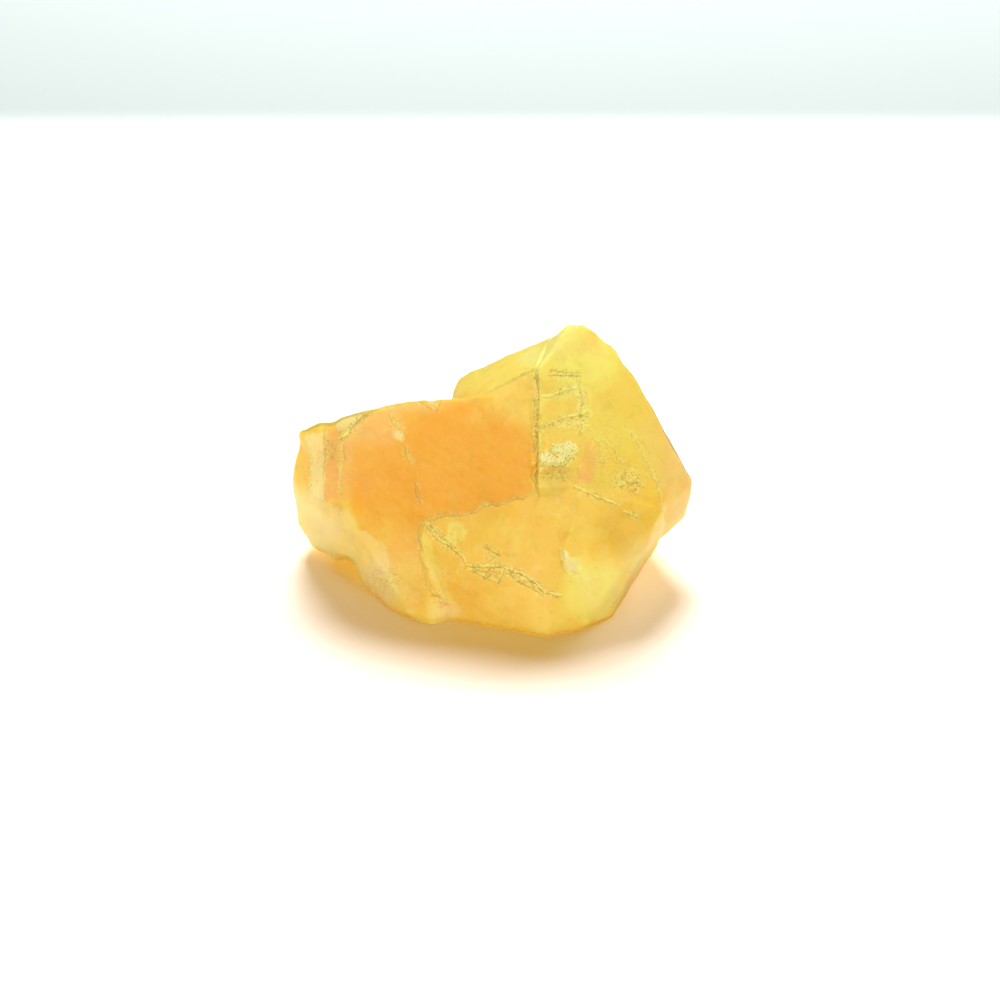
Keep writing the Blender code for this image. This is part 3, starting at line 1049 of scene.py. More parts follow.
CLOUDS = tuple(Cloud(tone, *row) for tone, rows in (
    (Tone.AMBER, (
        (0.95, (-6.0, -2.0, 17.0), (19.0, 12.0, 11.0)),
        (0.8, (2.5, -4.0, 18.5), (6.0, 6.0, 6.0)),
        (0.5, (23.0, -6.0, 13.0), (4.0, 5.0, 4.0)),
        (0.8, (19.0, -9.5, 11.6), (6.0, 3.5, 2.6)),
        (0.5, (4.5, 2.4, 30.0), (3.0, 3.0, 3.0)))),
    (Tone.APRICOT, (
        (0.25, (27.5, 0.0, 13.0), (4.0, 6.0, 5.0)),
        (0.25, (-19.0, 0.0, 19.0), (4.0, 5.0, 6.0)),
        (0.06, (0.0, -12.0, 9.0), (12.0, 7.0, 6.5)),
        (0.25, (-13.0, -9.0, 6.0), (4.0, 4.0, 4.0)))),
    (Tone.LEMON, (
        (0.36, (16.0, 0.0, 26.0), (9.5, 12.0, 12.0)),
        # painted light: the thin peak made paler and yellower, as if lit through from behind
        (1.0, (12.5, 7.0, 34.0), (8.5, 9.0, 7.0)),
        (0.5, (2.0, 8.0, 30.0), (9.0, 6.0, 5.0)),
        (0.75, (14.5, -15.0, 5.0), (5.0, 4.0, 5.5)),
        (0.3, (4.0, 1.0, 27.4), (3.6, 3.0, 2.6)),
        (0.25, (8.0, -17.0, 1.0), (4.0, 3.0, 2.5)))),
    (Tone.CREAM, (
        # painted light: the same glow at the top of the peak
        (0.15, (12.5, 8.0, 35.0), (5.5, 6.0, 3.5)),
        (0.15, (28.5, 0.0, 12.0), (3.5, 4.0, 4.5)),
        (0.2, (25.0, 2.0, 18.0), (3.0, 5.0, 7.0)),
        (0.22, (16.0, -14.5, 5.0), (4.0, 3.5, 4.5)),
        (0.3, (-18.0, 1.5, 24.0), (5.0, 4.0, 3.5)),
        (0.25, (22.5, -9.5, 5.5), (3.0, 5.0, 5.0)),
        (0.68, (-28.0, 0.0, 6.0), (5.0, 6.0, 5.0)),
        (0.45, (-16.8, -10.2, 3.0), (3.6, 3.6, 3.4)),
        (0.5, (-7.0, -14.4, 1.2), (2.4, 2.0, 1.3)),
        (0.3, (-12.0, 3.0, 26.6), (5.0, 3.0, 1.5)),
        (0.3, (20.5, -10.5, 4.0), (3.0, 4.0, 5.0)),
        (0.15, (-23.5, 0.5, 18.0), (3.0, 5.0, 5.0)))),
    (Tone.GRAIN, (
        (0.2, (14.0, -3.0, 21.0), (8.5, 6.0, 6.5)),
        (0.15, (-7.0, -12.0, 6.0), (9.0, 5.0, 6.0)),
        (0.1, (-8.0, -2.0, 17.0), (15.0, 6.0, 9.0)))),
    # painted shade: darker patches where the lamps light the stone too brightly, and over creases
    (Tone.SHADE, (
        (0.5, (26.0, -2.0, 6.5), (5.0, 5.0, 5.0)),
        (0.2, (30.0, 2.0, 12.5), (3.0, 4.0, 3.5)),
        (0.2, (-27.0, -1.0, 3.5), (4.5, 5.0, 3.5)),
        (0.2, (-13.0, -13.0, 4.0), (3.0, 3.0, 3.0)),
        (0.2, (9.0, -4.0, 19.5), (3.0, 4.0, 3.0)),
        (0.3, (20.0, -9.0, 11.8), (5.5, 4.0, 3.0)),
        (0.2, (6.5, 3.0, 29.8), (2.0, 2.5, 3.0)),
        (0.1, (15.0, -4.5, 19.5), (7.0, 3.0, 3.5)),
        (0.3, (8.6, 7.5, 33.0), (2.0, 4.0, 2.6)))),
) for row in rows)

# Painted highlight: the pale top of the back lobe, which two tones share
BACK_LOBE_TOP = (
    (3.9, 7.4, 30.9), (4.5, 9.5, 31.0), (6.5, 9.2, 32.1), (7.2, 6.9, 32.6), (6.7, 4.1, 32.5),
    (5.0, 4.5, 31.7))

PATCHES = (
    Patch(Tone.AMBER, 1.0, (
        (-21.0, -4.3, 12.8), (-20.7, 0.4, 21.0), (-17.7, 1.8, 24.9), (-13.6, 2.0, 26.4),
        (-6.0, 2.4, 28.2), (-0.5, 1.8, 28.5), (3.5, 2.4, 30.6), (6.9, 2.0, 30.5),
        (6.9, -4.8, 19.0), (5.2, -6.4, 15.7), (3.0, -6.2, 15.1), (1.9, -6.5, 14.6),
        (-1.4, -6.0, 13.9), (-2.5, -6.6, 13.1), (-8.1, -6.2, 11.9), (-10.1, -6.3, 11.1),
        (-10.8, -7.6, 9.6), (-11.2, -9.0, 7.6), (-15.3, -8.5, 7.2), (-16.7, -7.2, 8.2),
        (-19.7, -5.9, 9.6)), thick=2.6),
    Patch(Tone.CREAM, 0.7, (
        (-27.4, 4.5, 20.0), (-24.9, 3.0, 20.9), (-25.0, 1.6, 18.5), (-25.3, 0.0, 15.5),
        (-25.4, -0.9, 11.4), (-27.9, 1.6, 9.7), (-27.5, 2.3, 14.2)), thick=1.2),
    Patch(Tone.CREAM, 0.35, (
        (-30.5, 3.5, 9.0), (-27.9, 1.7, 10.4), (-25.3, -0.9, 11.2), (-23.8, -2.5, 11.2),
        (-21.4, -4.5, 11.9), (-20.7, -5.2, 10.8), (-19.7, -5.9, 9.6), (-16.7, -7.2, 8.2),
        (-15.3, -8.5, 7.2), (-15.6, -9.1, 6.5), (-14.9, -10.7, 4.8), (-13.5, -13.1, 2.3),
        (-12.5, -14.6, 0.4), (-16.7, -11.5, -2.0), (-21.0, -7.0, -2.0), (-27.0, -1.0, -2.0),
        (-31.5, 3.0, 2.0)), thick=3.5, ragged=0.35),
    Patch(Tone.CREAM, 0.8, (
        (-14.9, 0.6, 23.0), (-14.0, 0.7, 23.3), (-13.2, 0.3, 22.8), (-13.1, -0.3, 21.7),
        (-13.9, -0.3, 21.6), (-14.6, 0.1, 22.1)), ragged=0.4),
    # painted highlight on the thin upward-facing strip at the top of the left end
    Patch(Tone.CREAM, 0.75, (
        (-24.0, 3.4, 22.3), (-22.0, 3.4, 23.3), (-20.0, 3.2, 24.5), (-17.5, 2.6, 26.0),
        (-17.7, 2.2, 25.3), (-19.4, 2.1, 24.5), (-20.7, 1.4, 23.1), (-22.4, 1.8, 22.0)),
        thick=1.0, ragged=0.1),
    Patch(Tone.LEMON, 0.9, (
        (9.9, -12.2, 10.4), (11.4, -12.0, 10.1), (13.8, -13.0, 7.9), (14.4, -14.0, 6.0),
        (12.6, -14.2, 6.5), (11.0, -13.9, 7.6), (10.1, -13.2, 8.9)), thick=1.5, ragged=0.7),
    Patch(Tone.CREAM, 0.85, (
        (10.1, -12.3, 10.2), (11.0, -12.2, 10.0), (12.8, -13.0, 8.0), (12.6, -13.8, 7.0),
        (11.2, -13.6, 7.9), (10.3, -13.0, 9.0)), thick=1.5, ragged=0.7),
    Patch(Tone.LEMON, 1.0, BACK_LOBE_TOP, thick=1.5, ragged=0.5),
    Patch(Tone.CREAM, 0.3, BACK_LOBE_TOP, thick=1.5, ragged=0.5),
    Patch(Tone.APRICOT, 0.8, (
        (-24.7, 3.0, 21.1), (-22.4, 1.8, 21.9), (-22.7, 0.4, 19.2), (-22.9, -1.1, 16.5),
        (-23.1, -2.9, 12.9), (-25.3, -0.9, 11.2), (-25.1, 0.1, 15.7), (-24.9, 1.7, 18.7)),
        thick=1.2),
    Patch(Tone.APRICOT, 0.6, (
        (-22.1, 1.5, 21.8), (-20.7, 0.4, 21.3), (-20.6, -1.7, 17.4), (-20.8, -3.8, 13.4),
        (-22.6, -3.2, 13.3), (-22.6, -1.0, 16.9)), thick=1.2, ragged=0.4),
    Patch(Tone.APRICOT, 1.0, (
        (13.6, -1.9, 22.8), (15.6, -1.7, 22.4), (15.5, -2.5, 21.3), (15.1, -4.2, 18.9),
        (14.4, -5.3, 17.5), (13.1, -5.5, 17.7), (12.7, -5.1, 18.4), (13.4, -3.3, 20.8),
        (13.6, -2.3, 22.2)), thick=1.5),
    Patch(Tone.LEMON, 0.5, (
        (-6.9, -7.4, 11.0), (-4.4, -7.4, 11.9), (-3.8, -8.5, 10.8), (-5.1, -9.5, 9.3),
        (-6.6, -9.0, 9.4)), thick=1.5, ragged=0.7),
    Patch(Tone.LEMON, 0.5, (
        (-10.9, -7.3, 9.7), (-9.5, -7.9, 9.8), (-8.3, -10.2, 7.1), (-6.5, -13.1, 3.7),
        (-5.0, -14.7, 2.0), (-6.2, -14.4, 1.8), (-7.7, -13.5, 2.7), (-9.5, -11.2, 5.6),
        (-10.6, -9.0, 7.7)), thick=1.5, ragged=0.35),
    Patch(Tone.LEMON, 0.5, (
        (7.1, 1.0, 29.0), (9.7, 1.5, 29.0), (12.6, 2.7, 29.1), (14.6, 3.0, 28.9),
        (14.6, 0.8, 25.6), (13.4, -1.0, 24.2), (12.4, -0.3, 25.3), (12.5, 1.8, 28.0),
        (9.7, 0.9, 28.2), (7.1, 0.4, 28.0)), thick=1.5, ragged=0.6),
    # painted glint on the sparkling ledge
    Patch(Tone.GLINT, 1.0, (
        (7.3, -3.6, 22.0), (9.4, -2.9, 22.5), (10.8, -2.5, 22.8), (12.2, -2.3, 22.6),
        (12.5, -2.8, 21.8), (11.6, -3.6, 20.8), (10.4, -4.5, 20.1), (7.3, -5.1, 20.0)),
        thick=1.5, ragged=0.8),
)


# The stone

@dataclass(frozen=True)
class Skin:
    """The stone's surface: where each ray leaves it, and what the material reads there."""

    points: Array                # millimetres, one row for each point
    masks: dict[str, Array]


@dataclass(frozen=True)
class Cleavage:
    """Fine steps that run across the whole stone: a saw-tooth that noise bends and fades."""

    way: Place                   # the direction that the steps follow each other in
    pitch: float                 # millimetres along it from step to step
    bend: Noise
    fade: Noise
    high: float = 0.035

    BENT = 1.1                   # how far noise bends the steps
    LONG, SHORT = 0.85, 0.15     # the shares of a step that sink slowly, and rise again
    SHOWN = (0.0, 0.5)           # the noise from which steps show, and are whole

    def depth(self, points: Array) -> Array:
        """Sink each step slowly from its edge, and rise quickly to the next one.

        Args:
            points: Places, one row each.

        Returns:
            Depths in millimetres.
        """
        place = (points @ np.array(self.way) + self.BENT * self.bend(points)) / self.pitch
        saw = place - np.floor(place)
        tooth = np.where(saw < self.LONG, saw / self.LONG, (1.0 - saw) / self.SHORT) - 0.5
        return self.high * tooth * smooth_step(self.fade(points), *self.SHOWN)


CLEAVAGES = (
    Cleavage((0.86, 0.20, -0.47), 2.1, bend=Noise(41, 6.0), fade=Noise(42, 5.0, 2)),
    Cleavage((0.35, -0.25, 0.90), 2.9, bend=Noise(43, 6.0), fade=Noise(44, 5.0, 2)),
)
STRAYS = tuple(Noise(seed, 6.0, 4) for seed in (11, 12, 13))    # slow bends of the planes
STRAY_MIX = 600                  # the seed of the first block's mix of them
EDGE_CHIPS = Noise(21, 1.8)
EDGE_STEEP = 2.5                 # how steep the chips in the edges are
BREAKS = Noise(31, 2.6)
WALL_JAGS = Noise(51, 1.3)
WALL_REACH = 0.5                 # how far to each side the upright break's wandering is felt
WALL_BACK = 4.0                  # how far behind the core's Y it goes on

FLUSH = 1e-9                     # a ray this nearly parallel to a plane never crosses it
GRAZING = (0.06, 0.25)           # marks fade from planes that a ray runs nearly along
EDGE_TURN = (0.03, 0.25)         # how unlike two planes look where an edge shows, and is whole
SEAM_TURN = (0.05, 0.4)          # the same where two blocks meet

FRONT_FROM = (math.radians(65), math.radians(85))    # angles where rays start to be closer
FRONT_TO = (math.radians(250), math.radians(236))    # angles where they stop
BACK_WEIGHT = 0.75               # how many rays a millimetre gets behind, as a share
FRONT_WEIGHT = 1.7               # how many more it gets in front
LEAST_WEIGHT = 0.02              # how many it gets however short the outline is there

EDGE_RIM = (0.55, 0.85)          # how near an edge the painted dark edge line starts, and is whole
RIM_FROM = (1.0, 3.0)            # Y from which edges get the painted dark edge line
RIM_TO = (12.5, 14.0)            # Y past which they are not
RIM_GAP = (9.2, 3.2)             # the X and half width of the stretch that stays pale
RIM_RIGHT = (26.0, 28.0)         # X from which they are darker wherever they are
RIM_GAP_EDGE = 1.0               # how softly the pale stretch ends
SOFT_BLEND = 1.0                 # blocks that blend further than this leave no seam
LOOSE_FROM = (10.5, 14.0)        # X from which a block can run in more softly
LAYERS = ("hair", "vein")        # the names that the layers of cracks have on the mesh

SEAM_SHADE = 0.3                 # how much painted shade darkens the seams between blocks
SUNK_SHADE = 0.2                 # how much painted shade darkens the bottoms of marks
SUNK_DEPTH = (0.3, 1.0)          # the depth from which they darken, and are darkest
FOOT_SHADE = 0.5                 # how much painted shade darkens the surface just above the floor
FOOT_HEIGHT = (0.9, 0.2)         # the height from which it darkens, and is darkest
OUTSIDE = -9.0                   # how far inside a patch a point is that none is near


@dataclass(frozen=True)
class Stone:
    """The calcite: its blocks, its marks and the grid that its surface is read on."""

    blocks: tuple[Block, ...] = field(
        default_factory=lambda: (slab(), foot(), tower(), lobe(), flare(), back_lobe()))
    marks: tuple[Mark, ...] = field(
        default_factory=lambda: tuple(
            tower_marks() + lobe_marks() + slab_marks() + back_marks()))

    core_left: float = -16.0     # the core that the rays leave runs from here to core_right
    core_right: float = 18.0
    core_y: float = 2.0
    core_z: float = 10.5
    middle_rings: int = 176
    left_rings: int = 72
    right_rings: int = 76
    around: int = 304
    trial: int = 720             # trial rays in each ring, to space the final ones evenly
    wander: float = 0.16         # how far a face strays from its plane
    bevel: float = 1.2           # how near an edge its painted highlight, its painted dark edge line and its chips start
    evening: int = 12            # times that the rings' spacings are evened out
    seam: float = 0.3            # how near the next block the painted shade of a seam starts to show
    chipping: float = 0.1        # how deep the edges are chipped
    texture: float = 0.05        # how rough the faces are broken
    wall_jag: float = 0.22       # how far the upright break wanders to each side

    def ring_frames(self) -> tuple[Array, Array]:
        """Lay out the rings: where each leaves the core, and how far it leans to an end.

        Returns:
            X where each ring's rays start, and their lean in radians, from -90° at the left
            pole, through 0 along the core, to 90° at the right pole.
        """
        quarter = math.pi / 2
        left = -quarter * (1.0 - np.arange(1, self.left_rings) / self.left_rings)
        right = quarter * np.arange(1, self.right_rings) / self.right_rings
        middle = np.linspace(self.core_left, self.core_right, self.middle_rings)
        starts = np.concatenate([np.full(len(left), self.core_left), middle,
                                 np.full(len(right), self.core_right)])
        leans = np.concatenate([left, np.zeros(len(middle)), right])
        return starts, leans

    def reach(self, starts: Array, ways: Array, sunk: Array | None = None,
              stray: Array | None = None) -> tuple[Array, Array]:
        """Find how far each ray goes before it leaves the last block.

        Inside one block a ray leaves at the nearest of the planes that it runs out through,
        rounded where two are close. The blocks are joined, so the furthest of them counts.

        Args:
            starts: Where the rays start, one row each.
            ways: Their unit directions.
            sunk: How far marks sink the surface there, if known.
            stray: Three slow noises there, that each plane mixes in its own way, if known.

        Returns:
            The distances, how near each ray's way out is to an edge, and how near it is to a
            seam between two blocks, both from 0 to 1.
        """
        best = np.full(len(starts), -np.inf)
        second = np.full(len(starts), -np.inf)
        edge = np.zeros(len(starts))
        looks = np.zeros_like(starts)
        seam = np.zeros(len(starts))
        for number, block in enumerate(self.blocks):
            normals, offsets = block.planes()
            facing = ways @ normals.T
            room = offsets[None] - starts @ normals.T
            missed = ((np.abs(facing) <= FLUSH) & (room < 0.0)).any(axis=1)
            if sunk is not None and stray is not None:
                dice = np.random.default_rng(STRAY_MIX + number)
                mix = unit(dice.normal(size=(len(normals), len(STRAYS))))
                shift = self.wander * (stray @ mix.T) - sunk[:, None]
                room = room + shift * smooth_step(facing, *GRAZING)
            with np.errstate(divide="ignore", invalid="ignore"):
                reach = room / facing
            entry = np.where(facing < -FLUSH, reach, -np.inf).max(axis=1)
            ahead = np.where(facing > FLUSH, reach, np.inf)
            order = np.argsort(ahead, axis=1)[:, :3]
            exits = np.take_along_axis(ahead, order, axis=1)
            nearest = soft_min(soft_min(exits[:, 0], exits[:, 1], block.rounding), exits[:, 2],
                               block.rounding)
            nearest = np.where((entry < exits[:, 0]) & ~missed, nearest, -np.inf)
            further = nearest > best
            turn = 1.0 - np.sum(normals[order[:, 0]] * normals[order[:, 1]], axis=1)
            sharp = smooth_step(exits[:, 1] - exits[:, 0], self.bevel, 0.0) \
                * smooth_step(turn, *EDGE_TURN)
            edge = np.where(further, sharp, edge)
            here = normals[order[:, 0]]
            across = starts[:, 0] + np.maximum(nearest, 0.0) * ways[:, 0]
            blend = block.blend + block.loose * smooth_step(across, *LOOSE_FROM)
            bend = smooth_step(1.0 - np.sum(here * looks, axis=1), *SEAM_TURN) \
                * (blend < SOFT_BLEND)
            rival = np.minimum(nearest, best)
            seam = np.where(rival > second, bend, seam)
            second = np.maximum(second, rival)
            looks = np.where(further[:, None], here, looks)
            best = -soft_min(-np.maximum(nearest, 0.0), -np.maximum(best, 0.0), blend)
        return best, edge, seam * smooth_step(best - second, self.seam, 0.0)

    def ring_ways(self, angles: Array, leans: Array) -> Array:
        """Turn angles around the stone and leans to its ends into directions.

        Args:
            angles: Angles about the X axis, from +Y towards +Z, one row for each ring.
            leans: Each ring's lean.

        Returns:
            Unit directions: rings by angles by three.
        """
        flat = np.cos(leans)[:, None]
        return np.stack([np.broadcast_to(np.sin(leans)[:, None], angles.shape),
                         flat * np.cos(angles), flat * np.sin(angles)], axis=2)

    def spread(self, starts: Array, leans: Array) -> Array:
        """Space each ring's rays evenly along its outline, closer where the stone faces front.

        The outline's length is summed over trial rays, with the stretch from the crest round
        the front to the toe counted more than once, and equal shares of it give the angles.

        Args:
            starts: X where each ring starts.
            leans: Each ring's lean.

        Returns:
            Angles, one row for each ring.
        """
        trial = np.linspace(-0.5 * math.pi, 1.5 * math.pi, self.trial + 1)
        angles = np.broadcast_to(trial, (len(starts), len(trial)))
        ways = self.ring_ways(angles, leans)
        origins = self.origins(starts, len(trial))
        reach = self.reach(origins.reshape(-1, 3), ways.reshape(-1, 3))[0]
        outline = origins + reach.reshape(angles.shape)[..., None] * ways
        middle = 0.5 * (trial[1:] + trial[:-1])
        weight = BACK_WEIGHT + FRONT_WEIGHT * smooth_step(middle, *FRONT_FROM) \
            * smooth_step(middle, *FRONT_TO)
        steps = np.linalg.norm(np.diff(outline, axis=1), axis=2) * weight
        steps = steps + LEAST_WEIGHT * steps.mean(axis=1, keepdims=True)
        total = np.concatenate([np.zeros((len(starts), 1)), np.cumsum(steps, axis=1)], axis=1)
        shares = np.arange(self.around) / self.around
        angles = np.stack([np.interp(shares * row[-1], row, trial) for row in total])
        for _ in range(self.evening):
            angles[1:-1] = 0.5 * angles[1:-1] + 0.25 * (angles[:-2] + angles[2:])
        return angles

    def origins(self, starts: Array, count: int) -> Array:
        """Repeat each ring's start on the core for every ray in it.

        Args:
            starts: X where each ring starts.
            count: How many rays a ring has.

        Returns:
            Places: rings by rays by three.
        """
        core = np.stack([starts, np.full(len(starts), self.core_y),
                         np.full(len(starts), self.core_z)], axis=1)
        return np.repeat(core[:, None, :], count, axis=1)

    def skin(self) -> Skin:
        """Cast every ray, sink the marks, and cast again against the moved planes.

        Returns:
            The surface's points, ring by ring with a pole first and last, and its masks.
        """
        starts, leans = self.ring_frames()
        angles = self.spread(starts, leans)
        ways = self.ring_ways(angles, leans).reshape(-1, 3)
        origins = self.origins(starts, self.around).reshape(-1, 3)
        poles = np.array([[self.core_left, self.core_y, self.core_z],
                          [self.core_right, self.core_y, self.core_z]])
        ends = np.array([[-1.0, 0.0, 0.0], [1.0, 0.0, 0.0]])
        origins = np.concatenate([poles[:1], origins, poles[1:]])
        ways = np.concatenate([ends[:1], ways, ends[1:]])

        reach, edge, _ = self.reach(origins, ways)
        plain = origins + reach[:, None] * ways
        stray = np.stack([noise(plain) for noise in STRAYS], axis=1)
        sunk = self.relief(plain, edge)
        reach, edge, seam = self.reach(origins, ways, sunk, stray)
        points = origins + reach[:, None] * ways
        points[:, 0] += self.jag(points)
        points[:, 2] = np.maximum(points[:, 2], 0.0)
        return Skin(points, self.masks(points, edge, seam, sunk))

    def relief(self, points: Array, edge: Array) -> Array:
        """How far the surface sinks at each point: marks, chipped edges and broken faces.

        The broken faces are slow noise, plus fine steps along two cleavage directions.

        Args:
            points: The surface before it is broken.
            edge: How near each point is to an edge.

        Returns:
            Depths in millimetres.
        """
        total = np.zeros(len(points))
        for mark in self.marks:
            rows = mark.rows(points)
            total[rows] += mark.depth(points[rows])
        for swell in SWELLS:
            total += swell.depth(points)
        total += self.chipping * edge * np.clip(EDGE_STEEP * EDGE_CHIPS(points), 0.0, 1.0)
        total += self.texture * BREAKS(points)
        for cleavage in CLEAVAGES:
            total += cleavage.depth(points)
        return total

    def jag(self, points: Array) -> Array:
        """Move points near the upright break to either side of it.

        Args:
            points: Places, one row each.

        Returns:
            How far each point moves along X.
        """
        near = np.exp(-((points[:, 0] - WALL_X) / WALL_REACH) ** 2) \
            * (points[:, 1] < self.core_y + WALL_BACK)
        return self.wall_jag * near * WALL_JAGS(points * np.array([0.0, 1.0, 1.0]))

    def masks(self, points: Array, edge: Array, seam: Array, sunk: Array) -> dict[str, Array]:
        """Work out what the material reads at each point.

        Args:
            points: The finished surface.
            edge: How near each point is to an edge.
            seam: How near it is to a seam between two blocks.
            sunk: How far marks have sunk it.

        Returns:
            Values by name: each tone, the edges and the painted dark edge line from 0 to 1, how
            far inside its crisp patches each point is, and each layer of cracks.
        """
        bare = {tone: np.ones(len(points)) for tone in Tone}
        for cloud in CLOUDS:
            bare[cloud.tone] *= 1.0 - cloud.cover(points)
        for mark in self.marks:
            rows = mark.rows(points)
            for tone, amount in mark.tints(points[rows]).items():
                bare[tone][rows] *= 1.0 - np.clip(amount, 0.0, 1.0)
        # painted shade in the seams, in the bottoms of marks and just above the floor
        for share, cover in ((SEAM_SHADE, seam),
                             (SUNK_SHADE, smooth_step(sunk, *SUNK_DEPTH)),
                             (FOOT_SHADE, smooth_step(points[:, 2], *FOOT_HEIGHT))):
            bare[Tone.SHADE] *= 1.0 - share * cover
        tones = {tone.value: 1.0 - values for tone, values in bare.items()}
        return tones | {"edge": edge, "painted_edge_shade": self.painted_edge_shade(points, edge)} \
            | self.cuts(points) | self.hairs(points)

    def painted_edge_shade(self, points: Array, edge: Array) -> Array:
        """How much painted dark edge line each point has: painted shade along the edges behind or
        far right.

        Args:
            points: The finished surface.
            edge: How near each point is to an edge.

        Returns:
            Shares from 0 to 1.
        """
        behind = np.maximum(smooth_step(points[:, 1], *RIM_FROM),
                            smooth_step(points[:, 0], *RIM_RIGHT))
        outside = np.abs(points[:, 0] - RIM_GAP[0])
        return smooth_step(edge, *EDGE_RIM) * behind \
            * smooth_step(points[:, 1], RIM_TO[1], RIM_TO[0]) \
            * smooth_step(outside, RIM_GAP[1] - RIM_GAP_EDGE, RIM_GAP[1])

    def cuts(self, points: Array) -> dict[str, Array]:
        """Measure each point against the crisp patches.

        Args:
            points: The finished surface.

        Returns:
            For each tone that has patches, how far inside the deepest of them each point is,
            within a millimetre, and that patch's strength.
        """
        masks: dict[str, Array] = {}
        for tone in dict.fromkeys(patch.tone for patch in PATCHES):
            deepest = np.full(len(points), OUTSIDE)
            rate = np.zeros(len(points))
            for patch in PATCHES:
                if patch.tone is tone:
                    within = patch.within(points)
                    rate = np.where(within > deepest, patch.strength, rate)
                    deepest = np.maximum(deepest, within)
            masks |= {f"{tone.value}_cut": np.clip(deepest, -1.0, 1.0),
                      f"{tone.value}_rate": rate}
        return masks

    def hairs(self, points: Array) -> dict[str, Array]:
        """Measure each point against the cracks, layer by layer.

        Args:
            points: The finished surface.

        Returns:
            For each layer, how far above its nearest crack each point is, how dark that crack
            is there, and how strongly its lip gets a painted highlight.
        """
        kept = np.zeros((len(LAYERS), 4, len(points)))
        for crack in (mark for mark in self.marks if isinstance(mark, Crack)):
            rows = crack.rows(points)
            above, sure = crack.side(points[rows])
            closeness = sure * (1.0 - np.abs(above))
            found = closeness > kept[crack.layer, 3, rows]
            values = np.stack([above, crack.dark * sure, crack.lip * sure, closeness])
            kept[crack.layer][:, rows[found]] = values[:, found]
        masks: dict[str, Array] = {}
        for layer, (above, dark, lip, _) in zip(LAYERS, kept):
            masks |= {layer: above, f"{layer}_dark": dark, f"{layer}_lip": lip}
        return masks

    def faces(self) -> tuple[Array, Array]:
        """Join neighbouring rings with quads, and each end ring to its pole with triangles.

        Returns:
            The quads and the triangles, as rows of point numbers that look outwards.
        """
        rings = len(self.ring_frames()[0])
        grid = 1 + np.arange(rings * self.around).reshape(rings, self.around)
        nearer, further = grid[:-1], grid[1:]
        quads = np.stack([nearer, further, np.roll(further, -1, axis=1),
                          np.roll(nearer, -1, axis=1)], axis=2).reshape(-1, 4)
        first, last = grid[0], grid[-1]
        left = np.stack([np.zeros_like(first), first, np.roll(first, -1)], axis=1)
        right = np.stack([np.full_like(last, grid.max() + 1), np.roll(last, -1), last], axis=1)
        return quads, np.concatenate([left, right])

    def build(self) -> bpy.types.Object:
        """Make the stone's mesh and keep its masks as attributes.

        Returns:
            The stone, at the origin, with its place in its mesh.
        """
        skin = self.skin()
        quads, triangles = self.faces()
        mesh = bpy.data.meshes.new(SKIN)
        mesh.from_pydata(skin.points * MM, [], quads.tolist() + triangles.tolist())
        for name, values in skin.masks.items():
            attribute = mesh.attributes.new(name, "FLOAT", "POINT")
            attribute.data.foreach_set("value", values.astype(np.float32))
        mesh.shade_smooth()
        mesh.validate()
        stone = bpy.data.objects.new(SKIN, mesh)
        bpy.context.scene.collection.objects.link(stone)
        return stone


# Materials

class Wire:
    """A shader socket that adds Math nodes when it is used in an expression."""

    def __init__(self, shader: "Shader", socket: bpy.types.NodeSocket) -> None:
        """Keep the socket and the shader that it belongs to."""
        self.shader = shader
        self.socket = socket

    def math(self, operation: str, other: Any = None, clamp: bool = False) -> "Wire":
        """Add one Math node that works on this socket.

        Args:
            operation: The Math node's operation.
            other: A second value or Wire, where the operation has one.
            clamp: Whether the result is kept between 0 and 1.

        Returns:
            The node's result.
        """
        values = {0: self} if other is None else {0: self, 1: other}
        return self.shader.node("ShaderNodeMath", {"operation": operation, "use_clamp": clamp},
                                values)

    def __add__(self, other: Any) -> "Wire":
        """Add a value or another Wire."""
        return self.math("ADD", other)

    __radd__ = __add__

    def __sub__(self, other: Any) -> "Wire":
        """Subtract a value or another Wire."""
        return self.math("SUBTRACT", other)

    def __rsub__(self, other: Any) -> "Wire":
        """Subtract this from a value."""
        return (self * -1.0) + other

    def __mul__(self, other: Any) -> "Wire":
        """Multiply by a value or another Wire."""
        return self.math("MULTIPLY", other)

    __rmul__ = __mul__

    def __truediv__(self, other: Any) -> "Wire":
        """Divide by a value or another Wire."""
        return self.math("DIVIDE", other)

    def clamped(self) -> "Wire":
        """Keep the value between 0 and 1."""
        return self.math("ADD", 0.0, clamp=True)

    def step(self, low: float, high: float) -> "Wire":
        """Rise smoothly from 0 to 1 as the value passes from low to high."""
        return self.shader.node("ShaderNodeMapRange", {"interpolation_type": "SMOOTHSTEP"},
                                {"Value": self, "From Min": low, "From Max": high})


